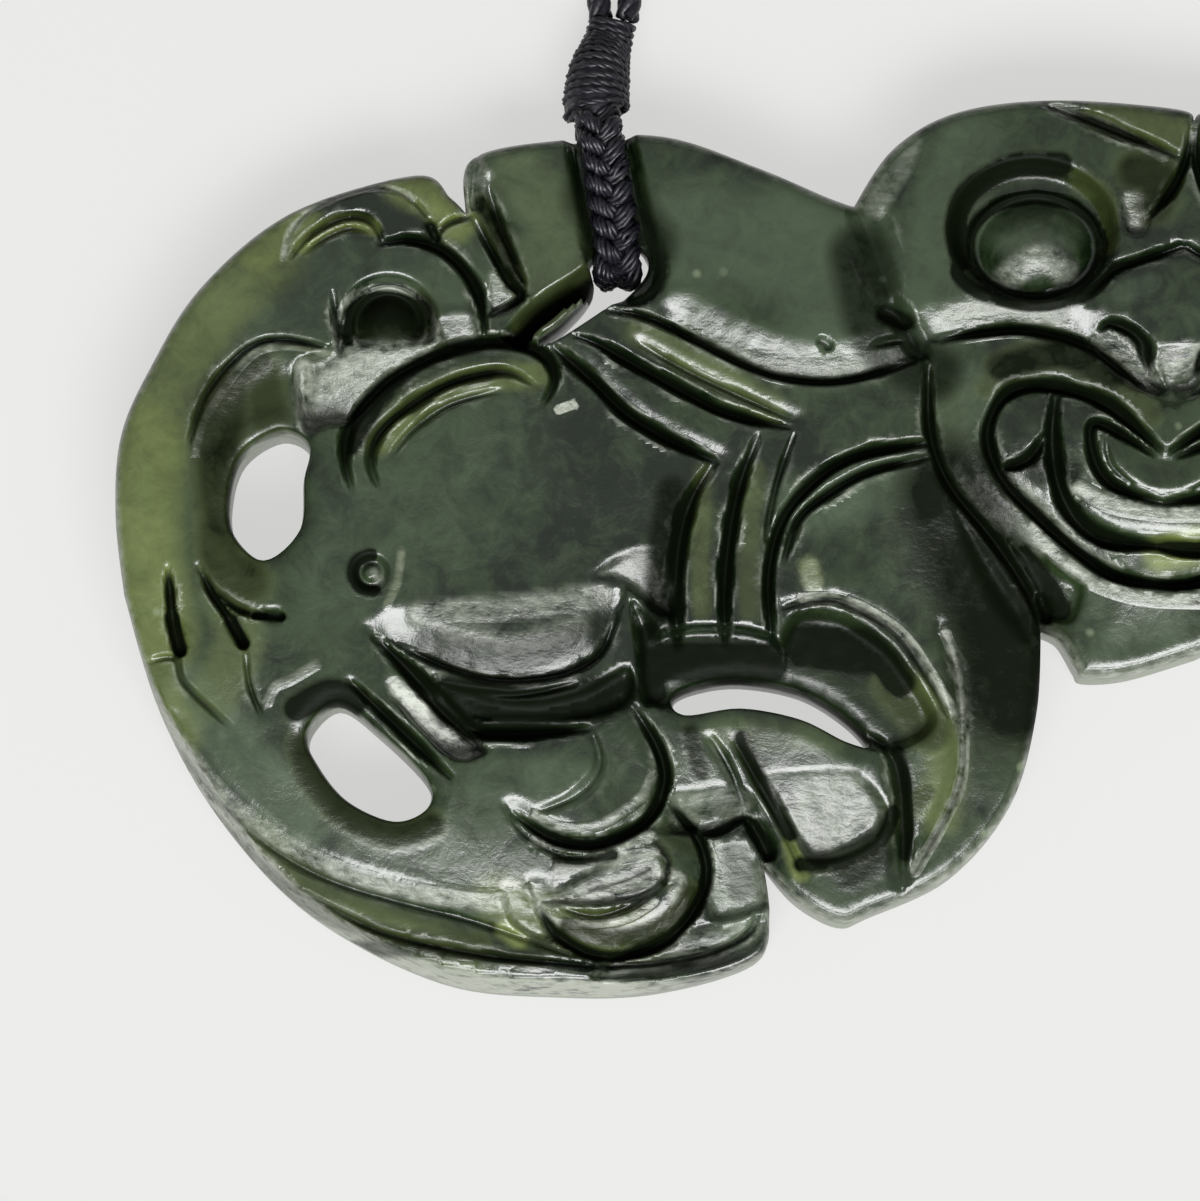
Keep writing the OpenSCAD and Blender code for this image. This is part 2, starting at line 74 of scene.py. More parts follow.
# Outline of the figure, in smooth runs that meet in corners
OUTLINE_RUNS = [
    [[124, 600], [115, 520], [120, 440], [150, 370], [200, 290], [290, 215], [415, 177],
     [450, 200], [465, 215]],
    [[465, 215], [472, 160], [565, 141], [665, 138], [760, 170], [830, 200], [855, 208]],
    [[855, 208], [895, 150], [960, 113], [1060, 101], [1180, 110], [1197, 122]],
    [[1197, 122], [1216, 113], [1335, 122], [1440, 158], [1500, 215], [1515, 275],
     [1490, 345], [1430, 430], [1400, 510], [1310, 600], [1200, 658]],
    [[1200, 658], [1130, 679], [1085, 682], [1076, 672], [1060, 645], [1041, 635]],
    [[1041, 635], [1036, 720], [1010, 810], [950, 880], [870, 918], [838, 928],
     [795, 905], [763, 868]],
    [[763, 868], [769, 920], [755, 965], [660, 994], [560, 998], [440, 984],
     [310, 917], [220, 823], [160, 718], [124, 600]],
]
UPPER_LEG_GAP = [[280, 438], [308, 452], [303, 485], [299, 535], [265, 565], [234, 540],
                 [229, 505], [242, 462]]
LOWER_LEG_GAP = [[338, 711], [378, 738], [425, 785], [428, 812], [395, 826], [348, 806],
                 [318, 770], [308, 740]]
LOWER_ARM_GAP = [[673, 705], [695, 693], [740, 687], [800, 698], [845, 725], [868, 751],
                 [845, 746], [800, 724], [740, 713], [685, 720]]
CORD_GAP = [[540, 347], [562, 329], [584, 306], [594, 286], [592, 262], [640, 250], [648, 270],
            [625, 298], [580, 330], [551, 347]]

# Steep walls beside an opening: path along the top of the wall, with the drop on its right
STEEP_WALLS = [[[500, 340], [512, 326], [535, 302], [575, 277], [594, 262]]]
STEEP_REACH = 27
STEEP_SLOPE = 3.4
STEEP_DROP_MM = 5.2

# Soft slope beside the openings between the limbs: reach in squares and drop
GAP_REACH = 20
GAP_DROP_MM = 0.6

# Sloping worn edge along the feet: path beside the outline, width in squares, drop, and share of painted
# highlight (the pale reflection of the table on the slope)
WORN_EDGE = [[130, 640], [160, 718], [220, 823], [310, 917], [440, 984], [560, 998], [660, 994],
             [740, 974]]
WORN_WIDE = 13
WORN_BESIDE = 8
WORN_DROP_MM = 3.4
WORN_EDGE_HIGHLIGHT = 1.7

# The face's own leaning middle line
FACE_TOP = np.array([1197.0, 122.0])
FACE_FOOT = np.array([1160.0, 510.0])

# Tints narrower than this get rows of points of their own
THIN_TINT = 14

# Half widths over which the end of a carved line runs out
TAPER = 6

# Squares that a soft shoulder reaches for each mm that it drops, and the roundness of its two ends
SHOULDER_REACH = 38
ROLL_SOFT = 0.02
ROLL_FOOT = 0.1414
ROLL_SPAN = 0.869

# Uneven width of the carved lines, and breaks in the painted highlight along them: share, and the length
# and seed of the waves; how wide the painted highlight along a line is, in squares
WIDTH_UNEVEN = 0.2
WIDTH_WAVES = (45, 9)
LIGHT_UNEVEN = 0.9
LIGHT_WAVES = (48, 8)
EDGE_LIGHT = 2.2

# Unevenness of the front: mm on polished stone, further mm on worked stone, wave length, seed
TOOL_MARKS = [(0.006, 0.014, 24, 3), (0.045, 0, 90, 4), (0, 0.012, 15, 5)]

# Pale share of a flat cut (partly the paler frosted face, partly painted highlight), painted shade shares
# of a soft slope and of a flat cut, width of the painted highlight along the rim, and depth at which a
# cut is painted fully dark as shade
FLAT_CUT_HIGHLIGHT = 0.3
SOFT_SLOPE_SHADE = 0.3
FLAT_CUT_SHADE = 0.1
RIM_LIGHT = 7
FULL_SHADE_AT_MM = 1.2

# How wide the full strength of a tint is, against its reach
TINT_CORE = 1.55

# How far in from the rim the front goes on rising
DOME_REACH_MM = 13

# Closest points in the rows along the carving, and width of the grid between, in point spacings, and
# where the half of the head starts that needs fewer points
ROW_GAP = 0.55
HIDDEN_ROW_GAP = 0.9
GRID_SHARE = 1.55
HIDDEN_GRID = 1.3
HIDDEN_FROM = 1215

# Carved lines: points, half width, depth in mm, soft shoulder in mm on the side to the right of
# the direction of travel, and on the side to its left
CUTS = {
    "neck": ([[856, 206], [876, 255], [890, 300]], 26, 0.3, 0.45, 0.45),
    "neck foot": ([[890, 300], [905, 335], [928, 368]], 14, 0.7, 0.3, 0.4),
    "jaw": ([[928, 372], [930, 440], [950, 492], [994, 546], [1030, 600], [1041, 636]],
            8, 1.2, 0.3, 0.95),
    "shoulder": ([[771, 645], [768, 585], [781, 530], [815, 488], [860, 462], [938, 449]],
                 8, 1.3, 0.0, 0.2),
    "shoulder inner": ([[783, 570], [797, 528], [830, 500], [872, 478], [932, 464]], 7, 1.1, 0.1, 0.0),
    "outer rib": ([[572, 342], [600, 352], [640, 374], [690, 402], [726, 420], [792, 436]],
                  8, 1.3, 0.1, 0.0),
    "outer rib turn": ([[795, 438], [778, 485], [768, 530], [766, 560]], 5, 0.6, 0.1, 0.1),
    "rib crest": ([[640, 352], [690, 380], [740, 404], [794, 428]], 5, 0.5, 0.3, 0.35),
    "inner rib": ([[548, 350], [590, 385], [626, 420], [670, 447], [716, 470]], 9, 1.4, 0.1, 0.5),
    "inner rib turn": ([[714, 470], [692, 505], [680, 545], [675, 600], [678, 652]], 11, 1.5, 0.15, 0.0),
    "middle rib turn": ([[758, 444], [740, 490], [729, 544], [724, 600], [725, 648]], 9, 1.4, 0.1, 0.1),
    "inner elbow": ([[868, 742], [890, 762], [900, 800], [903, 884]], 9, 0.6, 0.5, 0.3),
    "elbow crest": ([[945, 640], [958, 680], [962, 740], [955, 800], [912, 878]], 5, 0.5, 0.5, 0.1),
    "wrist": ([[735, 750], [755, 785], [780, 830], [802, 878]], 6, 0.5, 0.15, 0.3),
    "wrist strip": ([[712, 745], [732, 780], [745, 815]], 5, 0.5, 0.3, 0.1),
    "first finger": ([[634, 716], [658, 755], [664, 790], [645, 828], [600, 850], [555, 846],
                      [514, 822]], 8, 1.4, 0.55, 0.2),
    "second finger": ([[668, 808], [700, 848], [704, 893], [672, 940], [610, 962], [560, 942],
                       [537, 908]], 8, 1.4, 0.75, 0.2),
    "palm": ([[668, 838], [715, 838], [748, 826], [766, 866]], 7, 1.1, 0.1, 0.8),
    "thigh": ([[374, 644], [402, 670], [432, 702], [460, 727], [492, 740], [590, 737]],
              11, 1.7, 0.05, 0.5),
    "calf": ([[352, 690], [392, 728], [452, 786]], 8, 1.1, 0.15, 0.2),
    "knee": ([[378, 248], [410, 244], [440, 252], [465, 275], [480, 305], [485, 345]], 8, 1.3, 0.25, 0.1),
    "hand": ([[352, 496], [345, 464], [352, 430], [382, 394], [428, 365], [480, 349], [520, 351],
              [546, 364], [554, 388], [543, 412]], 9, 1.3, 0.0, 0.2),
    "belly hand": ([[378, 494], [371, 470], [380, 440], [416, 409], [458, 387], [505, 379], [534, 392]],
                   8, 1.0, 0.1, 0.0),
    "belly hand inner": ([[392, 462], [415, 436], [450, 412], [500, 398]], 5, 0.5, 0.2, 0.0),
    "shin": ([[188, 452], [196, 425], [205, 400], [230, 368], [258, 348], [290, 346], [332, 356]],
             5, 0.8, 0.0, 0.05),
    "slot": ([[333, 296], [337, 325], [341, 362]], 6, 0.9, 0.05, 0.1),
    "foot": ([[199, 572], [213, 600], [228, 622], [243, 648]], 7, 1.3, 0.1, 0.15),
    "foot side": ([[246, 650], [250, 690], [262, 722]], 4, 0.5, 0.1, 0.1),
    "foot top": ([[206, 588], [235, 614], [266, 624]], 6, 0.9, 0.1, 0.1),
    "toe": ([[168, 573], [171, 610], [176, 655]], 7, 1.3, 0.05, 0.15),
    "toe side": ([[150, 667], [176, 664], [186, 690], [230, 732]], 5, 0.6, 0.2, 0.1),
    "arm piece": ([[474, 222], [492, 255], [508, 284], [522, 300], [505, 315], [488, 322]],
                  7, 1.2, 0.2, 0.1),
    "arm facet": ([[487, 190], [500, 230], [514, 262], [526, 294]], 6, 0.9, 0.05, 0.5),
    "arm cut": ([[432, 247], [446, 228], [474, 219]], 5, 0.7, 0.05, 0.1),
    "upper arm": ([[680, 340], [750, 375], [800, 388], [850, 387], [915, 368]], 6, 0.9, 0.0, 1.25),
    "upper arm start": ([[606, 318], [640, 322], [680, 340], [740, 371]], 6, 0.9, 0.0, 0.35),
    "sole": ([[168, 738], [215, 802], [270, 852], [330, 886], [400, 908], [470, 926], [530, 946],
              [590, 966]], 5, 0.3, 0.5, 0.7),
    "neck streak": ([[870, 352], [905, 346], [930, 360]], 6, 0.6, 0.1, 0.4),
    "rim line": ([[300, 896], [380, 937], [470, 958], [545, 967], [610, 971], [690, 962], [745, 941],
                  [760, 912]], 5, 0.8, 0.1, 0.0),
    "crescent": ([[290, 262], [308, 240], [340, 222], [365, 222], [378, 235], [382, 250]],
                 6, 0.8, 0.0, 0.1),
    "crescent inner": ([[300, 258], [328, 240], [350, 232], [372, 236]], 5, 0.6, 0.1, 0.0),
    "top edge": ([[283, 266], [290, 235], [312, 213], [350, 196], [382, 191], [410, 202],
                  [432, 226]], 4, 0.3, 0.0, 0.3),
    "arm shelf": ([[782, 616], [820, 608], [846, 612], [895, 640], [925, 682], [948, 724]],
                  6, 0.7, 0.0, 0.3),
    "thumb": ([[590, 735], [600, 770], [582, 800], [538, 820]], 8, 0.2, 0.25, 0.05),
    "second tip": ([[512, 826], [530, 845], [562, 862], [592, 863]], 5, 0.5, 0.1, 0.3),
    "third finger": ([[556, 912], [600, 922], [655, 900]], 6, 0.5, 0.05, 0.5),
    "lens": ([[400, 655], [450, 676], [500, 688], [560, 683], [600, 662], [618, 622]],
             5, 0.7, 0.05, 1.15),
    "lens lower": ([[428, 690], [470, 700], [520, 703], [575, 692]], 4, 0.35, 0.25, 0.05),
}
FACE_CUTS = {
    "cheek": ([[938, 348], [980, 340], [1030, 338], [1090, 355], [1152, 400]], 7, 1.0, 0.1, 1.15),
    "brow": ([[1045, 106], [1090, 121], [1140, 142], [1182, 160]], 9, 1.0, 0.2, 0.1),
    "nose bridge": ([[1194, 126], [1188, 162], [1170, 198], [1146, 226]], 7, 1.2, 0.2, 0.2),
    "nose side": ([[1192, 250], [1170, 256], [1140, 266], [1112, 277], [1088, 302]], 7, 1.0, 0.1, 0.4),
    "nostril": ([[1098, 338], [1110, 330], [1130, 337], [1144, 352], [1150, 378]], 8, 1.3, 0.3, 0.0),
    "mouth": ([[1162, 460], [1110, 412], [1050, 392], [1006, 400], [987, 440], [1000, 482], [1034, 520],
               [1078, 558], [1120, 584], [1178, 592]], 8, 1.4, 0.1, 1.1),
    "inner lip": ([[1056, 398], [1052, 450], [1064, 505], [1102, 544], [1178, 554]],
                  11, 1.7, 0.1, 0.5),
    "mouth corner": ([[996, 476], [1028, 466], [1046, 440]], 8, 1.2, 0.2, 0.1),
    "tongue": ([[1155, 462], [1096, 430], [1092, 460], [1112, 492], [1166, 512]], 8, 1.1, 0.15, 0.5),
    "tongue inner": ([[1105, 442], [1110, 472], [1136, 496]], 4, 0.4, 0.1, 0.2),
}

# Hollows with a wall round them: closed loop, depth in mm, how far in the wall reaches
HOLLOWS = [
    ([[190, 458], [200, 420], [225, 385], [255, 358], [290, 356], [318, 372], [316, 410],
      [308, 445], [280, 440], [245, 455], [230, 500], [236, 545], [215, 555], [196, 505]], 0.6, 34),
    ([[945, 505], [975, 530], [1010, 575], [1036, 615], [1036, 660], [1010, 640], [975, 590]], 0.6, 22),
    ([[786, 624], [835, 616], [880, 640], [905, 665], [938, 718], [925, 748], [880, 762], [840, 740],
      [800, 716], [770, 700]], 1.5, 15),
    ([[650, 640], [772, 640], [800, 716], [740, 706], [648, 716]], 1.4, 10),
    ([[628, 606], [652, 622], [664, 650], [672, 704], [640, 716], [632, 660]], 1.3, 14),
    ([[440, 694], [520, 706], [580, 696], [628, 672], [634, 706], [590, 728], [480, 732],
      [445, 715]], 0.9, 9),
    ([[1004, 544], [1026, 548], [1062, 574], [1084, 590], [1082, 612], [1072, 630], [1050, 628],
      [1034, 600]], 0.9, 9),
]

# Flat cuts: closed loop, top of the slope, direction it falls in, slope, softness of its edge
FACETS = [
    ([[758, 782], [800, 772], [850, 772], [874, 790], [890, 820], [872, 850], [820, 872], [795, 855],
      [775, 820]], [810, 768], [0.05, 1], 0.31, 14),
    ([[292, 372], [322, 356], [345, 340], [400, 344], [448, 334], [438, 362], [394, 390],
      [354, 430], [330, 436], [302, 438]], [380, 332], [-0.35, 1], 0.4, 9),
    ([[436, 322], [470, 316], [480, 346], [445, 354]], [455, 316], [0.1, 1], 0.4, 7),
    ([[486, 276], [506, 280], [524, 302], [505, 316], [488, 322]], [495, 274], [0.1, 1], 0.4, 6),
    ([[704, 850], [764, 846], [780, 890], [772, 914], [708, 928]], [735, 840], [0.1, 1], 0.22, 12),
    ([[620, 950], [700, 930], [766, 914], [768, 940], [740, 966], [660, 986], [590, 988]],
     [690, 912], [0.1, 1], 0.38, 12),
    ([[860, 205], [905, 150], [925, 140], [915, 175], [880, 225]], [900, 190], [-0.7, -0.7], 0.14, 8),
    ([[468, 210], [472, 158], [486, 158], [490, 190], [484, 214]], [486, 185], [-1, 0], 0.8, 5),
    ([[668, 800], [690, 795], [742, 790], [756, 818], [720, 834], [668, 838]], [710, 786],
     [0, 1], 0.4, 9),
    ([[590, 585], [620, 556], [652, 552], [672, 580], [676, 625], [650, 622], [622, 596]], [640, 548],
     [0.15, 1], 0.4, 14),
    ([[384, 694], [410, 686], [484, 750], [480, 766], [452, 768], [416, 736]], [404, 680], [0.2, 1],
     0.42, 6),
    ([[500, 890], [528, 896], [556, 930], [560, 952], [530, 946], [505, 925]], [515, 886], [0, 1],
     0.32, 12),
    ([[534, 909], [562, 891], [590, 875], [620, 859], [650, 854], [668, 870], [666, 890], [640, 907],
      [590, 914]], [600, 852], [0.1, 1], 0.36, 9),
    ([[1120, 198], [1148, 196], [1150, 238], [1124, 240]], [1135, 192], [0, 1], 0.36, 8),
    ([[1090, 340], [1130, 338], [1155, 372], [1170, 400], [1130, 398], [1095, 365]], [1120, 332],
     [0, 1], 0.34, 8),
    ([[1154, 356], [1176, 350], [1204, 354], [1202, 392], [1176, 400], [1160, 388]], [1176, 344],
     [0.1, 1], 0.36, 7),
]

# Tints of the stone: path, reach in squares, then shares of yellow rind, painted shade (dark), painted
# highlight (pale) and milky
TINTS = [
    ([[150, 640], [135, 530], [144, 440]], 64, 0.55, 0, 0, 0.2),
    ([[144, 440], [168, 378], [212, 312], [266, 258]], 54, 0.34, 0, 0, 0.3),
    ([[128, 560], [130, 470]], 40, 0.3, 0, 0, 0.4),
    ([[226, 470], [220, 560], [250, 590]], 34, 0.35, 0.55, 0, 0),
    ([[225, 300], [250, 330]], 60, 0, 0, 0, 0.5),
    ([[330, 270], [300, 330]], 50, 0, 0, 0, 0.4),
    ([[255, 262], [300, 225]], 30, 0.5, 0, 0, 0.2),
    ([[302, 252], [322, 234], [350, 226], [372, 232]], 12, 0.8, 0, 0, 0),
    ([[405, 188], [440, 205], [456, 226]], 30, 0.6, 0, 0, 0),
    ([[400, 275], [450, 290]], 40, 0, 0, 0, 0.5),
    ([[450, 250], [500, 300]], 40, 0, 0, 0, 0.35),
    ([[480, 205], [500, 245], [520, 288]], 12, 0.35, 0.7, 0, 0),
    ([[520, 180], [560, 230], [535, 280]], 45, 0.12, 0, 0, 0.6),
    ([[372, 322], [415, 320]], 34, 0.2, 0.8, 0, 0),
    ([[528, 330], [560, 305], [585, 285]], 22, 0.35, 0.55, 0, 0),
    ([[600, 200], [640, 250]], 60, 0, 0.6, 0, 0),
    ([[380, 450], [420, 412], [470, 388], [535, 384]], 20, 0.35, 0, 0, 0.1),
    ([[558, 418], [572, 413]], 5, 0, 0, 6.0, 0),
    ([[640, 340], [700, 375], [770, 415]], 22, 0.25, 0, 0, 0.2),
    ([[703, 480], [700, 560], [702, 620]], 14, 0.22, 0, 0, 0),
    ([[755, 480], [748, 560], [750, 620]], 16, 0.18, 0, 0, 0.1),
    ([[672, 500], [662, 560], [660, 620]], 26, 0, 0.7, 0, 0),
    ([[690, 240], [800, 260], [850, 330]], 80, 0, 0, 0, 0.7),
    ([[860, 260], [880, 340], [930, 380]], 50, 0, 0.6, 0, 0),
    ([[800, 520], [850, 505], [920, 480]], 40, 0, 0, 0, 0.7),
    ([[808, 575], [812, 590]], 14, 0.5, 0, 0.4, 0),
    ([[810, 650], [860, 660]], 40, 0.05, 0.85, 0, 0),
    ([[890, 690], [930, 740]], 30, 0.3, 0.5, 0, 0.3),
    ([[665, 670], [770, 670]], 30, 0, 0.9, 0, 0),
    ([[650, 640], [655, 700]], 18, 0, 0.9, 0, 0),
    ([[450, 715], [600, 712]], 30, 0, 0.8, 0, 0),
    ([[490, 790], [570, 785]], 34, 0, 0, 0, 0.5),
    ([[400, 540], [480, 470]], 110, 0, 0, 0, 0.25),
    ([[340, 600], [360, 540]], 60, 0, 0, 0, 0.3),
    ([[225, 590], [240, 650], [215, 700]], 36, 0.25, 0.2, 0, 0.3),
    ([[150, 680], [175, 740]], 40, 0.4, 0.1, 0, 0),
    ([[500, 905], [560, 930], [640, 940]], 36, 0.35, 0.1, 0, 0),
    ([[250, 850], [330, 920], [460, 965]], 40, 0.25, 0.2, 0, 0.2),
    ([[730, 870], [740, 930]], 36, 0, 0, 0, 0.9),
    ([[670, 840], [690, 850]], 20, 0.1, 0.4, 0, 0),
    ([[720, 740], [830, 745]], 24, 0.1, 0, 0, 0.3),
    ([[920, 700], [945, 760], [940, 820]], 30, 0.35, 0, 0, 0.3),
    ([[980, 690], [990, 780]], 40, 0, 0.3, 0, 0.2),
    ([[1160, 560], [1200, 552]], 26, 0.7, 0, 0, 0),
    ([[1100, 118], [1180, 138]], 24, 0.3, 0.3, 0, 0.1),
    ([[970, 150], [940, 240], [930, 330]], 50, 0, 0, 0, 0.5),
    ([[1138, 176], [1160, 182], [1154, 208]], 32, 0.25, 0.62, 0, 0),
    ([[980, 400], [960, 440]], 40, 0, 0, 0, 0.5),
    ([[1040, 480], [1070, 480]], 20, 0, 0.6, 0, 0),
    ([[1000, 600], [1020, 640]], 26, 0, 0.8, 0, 0),
    ([[1110, 650], [1160, 640]], 30, 0, 0, 0, 0.4),
    ([[962, 264], [956, 232], [966, 200], [990, 180], [1022, 167], [1062, 168]], 17, 0.1, 1.0, 0, 0),
    ([[1080, 182], [1106, 205], [1108, 250]], 13, 0.3, 0.45, 0, 0),
    ([[985, 396], [1010, 372], [1060, 364], [1120, 392], [1150, 425]], 16, 0.2, 0.35, 0, 0),
    ([[945, 400], [950, 450], [975, 500]], 26, 0.05, 0, 0, 0.5),
    ([[225, 400], [219, 450], [226, 525]], 40, 0.3, 0.62, 0, 0),
    ([[262, 378], [270, 425]], 30, 0.25, 0.5, 0, 0),
    ([[304, 374], [307, 430]], 13, 0, 0, 1.0, 0),
    ([[950, 500], [975, 570], [1000, 630], [1010, 700]], 86, 0.05, 0.72, 0, 0),
    ([[376, 578], [380, 588]], 7, 0, 0, 0.5, 0),
    ([[337, 352], [338, 320], [352, 302], [374, 293], [396, 292], [416, 301], [431, 318], [438, 345]],
     5, 0, 0, 0.8, 0),
    ([[348, 346], [349, 322], [360, 307], [380, 301], [402, 304], [420, 316]], 9, 0, 1.0, 0, 0),
    ([[352, 346], [375, 354], [405, 354], [432, 343]], 8, 0, 0, 0.7, 0),
    ([[180, 748], [225, 805], [290, 853], [360, 885], [440, 904], [520, 914]], 11, 0, 0, 0.65, 0),
    ([[440, 902], [490, 908], [550, 900]], 13, 0, 0, 0.7, 0),
    ([[298, 716], [330, 700], [358, 708]], 20, 0.1, 0.95, 0, 0),
    ([[190, 700], [240, 760], [300, 830]], 40, 0, 0, 0, 0.9),
    ([[300, 752], [312, 786], [345, 822], [395, 843], [434, 832]], 20, 0.25, 0.6, 0, 0),
    ([[400, 500], [520, 460], [600, 520]], 110, 0, 0.1, 0, 0),
    ([[400, 697], [432, 728], [464, 758]], 13, 0, 0, 1.4, 0),
    ([[205, 450], [213, 420], [232, 390], [262, 368]], 17, 0.2, 0.6, 0, 0),
    ([[1000, 376], [1060, 362], [1112, 384]], 24, 0.25, 0.72, 0, 0),
    ([[640, 560], [660, 600], [650, 650]], 20, 0, 0.3, 0, 0),
    ([[1005, 235], [1040, 225], [1065, 235]], 30, 0, 0, 0, 0.8),
    ([[1008, 282], [1040, 262], [1064, 276]], 20, 0, 0, 0.55, 0),
    ([[1037, 199], [1000, 207], [975, 228], [970, 254], [980, 278], [1004, 296], [1037, 303],
      [1070, 297], [1094, 280], [1103, 254], [1098, 228], [1074, 207], [1037, 199]], 9, 0, 1.0, 0, 0),
    ([[962, 262], [958, 282], [985, 302], [1037, 312], [1090, 300], [1112, 274]], 10, 0, 1.0, 0, 0),
    ([[372, 563], [357, 570], [354, 584], [362, 596], [376, 599]], 9, 0, 1.0, 0, 0),
    ([[1022, 562], [1046, 590], [1060, 614]], 17, 0, 1.0, 0, 0),
    ([[1038, 546], [1090, 586], [1140, 603], [1200, 606]], 9, 0, 0, 0.8, 0),
    ([[966, 492], [1000, 524], [1040, 552]], 14, 0, 0, 0.5, 0),
    ([[1006, 486], [1040, 515], [1090, 552]], 13, 0, 0, 0.55, 0),
    ([[1060, 112], [1110, 129], [1165, 160]], 7, 0, 0, 0.8, 0),
    ([[1077, 495], [1110, 512], [1158, 520], [1200, 520]], 9, 0, 0, 0.8, 0),
    ([[945, 640], [958, 680], [963, 740], [956, 800], [914, 878]], 6, 0, 0, 1.4, 0),
    ([[800, 606], [846, 609], [898, 638], [930, 680], [955, 722]], 6, 0, 0, 1.2, 0),
    ([[283, 262], [290, 234], [312, 212], [350, 194], [384, 189], [412, 201]], 5, 0, 0, 0.8, 0),
    ([[196, 460], [202, 432], [212, 412], [240, 372], [262, 355], [290, 352], [332, 360]],
     5, 0.2, 0, 0.5, 0),
    ([[268, 710], [276, 694], [292, 687], [316, 673]], 6, 0, 0, 0.5, 0),
    ([[402, 560], [398, 590], [388, 612]], 5, 0.2, 0, 0.3, 0),
    ([[420, 622], [520, 614], [600, 604]], 18, 0, 0, 0.55, 0),
    ([[450, 640], [520, 650], [580, 632]], 20, 0, 0, 0.35, 0),
    ([[950, 320], [1000, 312], [1060, 320]], 15, 0, 0, 0.5, 0),
    ([[1098, 350], [1120, 362], [1146, 386]], 9, 0, 0, 0.7, 0),
    ([[700, 350], [760, 372], [830, 378], [890, 362]], 14, 0, 0, 0.4, 0),
    ([[538, 912], [556, 928], [596, 930], [629, 924], [655, 908]], 5, 0, 0, 1.2, 0),
    ([[560, 876], [610, 866], [650, 862]], 10, 0, 0, 0.6, 0),
    ([[540, 908], [600, 898], [655, 880]], 12, 0, 0, 0.8, 0),
    ([[556, 867], [588, 868], [614, 862]], 8, 0.1, 0.75, 0, 0),
    ([[590, 896], [622, 888], [650, 876]], 4, 0, 0.7, 0, 0),
    ([[534, 848], [580, 852], [630, 849], [650, 842]], 7, 0, 0, 0.9, 0),
    ([[735, 862], [742, 895]], 24, 0, 0.45, 0, 0),
    ([[800, 870], [840, 870], [878, 850], [893, 818]], 13, 0.15, 0.75, 0, 0),
    ([[310, 402], [350, 374], [420, 354]], 20, 0, 0, 0.7, 0),
    ([[662, 880], [680, 886], [672, 905]], 9, 0, 0, 0.9, 0),
    ([[655, 850], [668, 868], [664, 890]], 7, 0.2, 0.7, 0, 0),
    ([[535, 822], [560, 835], [600, 832], [640, 805], [653, 780]], 6, 0, 0, 0.6, 0),
    ([[430, 652], [510, 664], [592, 640]], 26, 0, 0.5, 0, 0),
    ([[450, 705], [540, 715], [620, 700]], 30, 0.05, 1.0, 0, 0),
    ([[800, 660], [860, 650], [900, 690]], 24, 0, 0.85, 0, 0),
    ([[670, 668], [770, 668]], 30, 0, 0.95, 0, 0),
    ([[480, 350], [420, 372], [380, 410], [352, 455]], 14, 0.1, 0.75, 0, 0),
    ([[350, 950], [450, 958], [540, 966]], 12, 0.1, 0.6, 0, 0),
    ([[200, 812], [280, 890], [380, 938], [480, 950]], 16, 0.3, 0.45, 0, 0),
    ([[180, 780], [215, 830]], 20, 0.3, 0.2, 0, 0),
    ([[505, 935], [520, 945]], 14, 0.8, 0, 0, 0),
    ([[568, 932], [600, 942], [640, 940], [672, 924], [690, 898]], 15, 0.4, 0.65, 0, 0),
    ([[790, 850], [800, 880]], 12, 0.7, 0.2, 0, 0),
    ([[850, 880], [880, 860]], 24, 0, 0.6, 0, 0),
    ([[905, 820], [925, 800]], 14, 0.4, 0.5, 0, 0),
    ([[896, 760], [905, 800], [905, 860]], 12, 0, 0.8, 0, 0),
    ([[740, 745], [762, 790], [790, 840]], 12, 0.1, 0.8, 0, 0),
    ([[690, 740], [700, 780]], 14, 0.05, 0.6, 0, 0),
    ([[1120, 300], [1150, 290]], 14, 0, 0.2, 0, 0.4),
    ([[1158, 378], [1180, 368], [1200, 362]], 15, 0, 0, 1.0, 0),
]

# Drilled pits: ends, half width, depth in mm
PITS = [
    ([172, 622], [180, 656], 9, 1.5), ([231, 626], [244, 650], 8, 1.4),
    ([256, 622], [282, 624], 6, 1.1), ([430, 230], [435, 242], 8, 1.2),
    ([886, 318], [905, 328], 13, 1.2), ([752, 832], [768, 858], 10, 1.5),
    ([1040, 604], [1046, 622], 8, 1.3), ([822, 348], [828, 352], 7, 0.5),
]

# Round carvings: radius in squares against height in mm, where the bowl fades out down the view, and
# the radius of worked stone round the middle of the eye
SOCKET_AT = np.array([1034.0, 237.0])
SOCKET_RADII = [0, 66, 72, 79, 84, 87, 96]
SOCKET_HEIGHTS = [-2.3, -2.3, -2.15, -1.3, -0.35, -0.08, 0]
DISC_AT = np.array([1037.0, 252.0])
DISC_RADII = [0, 15, 28, 40, 49, 54, 57, 61, 63.5, 65.5, 68.5]
DISC_HEIGHTS = [1.8, 1.68, 1.36, 0.9, 0.42, 0.12, 0, 0, 0.45, 0.5, 0]
EYE_SQUASH = 0.87
BOWL_AT = np.array([388.0, 330.0])
BOWL_RADII = [0, 14, 24, 30, 33, 36, 39, 42, 46, 50, 54]
BOWL_HEIGHTS = [-0.6, -0.8, -1.3, -1.75, -1.7, -1.0, -0.85, -1.5, -1.0, -0.15, 0]
BOWL_FOOT = 354
BOWL_FADE = 14
DISC_EDGE = 60
DRILL_AT = np.array([372.0, 581.0])
DRILL_RADII = [0, 6, 8.5, 11, 14, 16.5, 19, 22]
DRILL_HEIGHTS = [-0.1, -0.15, -0.65, -0.75, -0.7, -0.4, -0.03, 0]

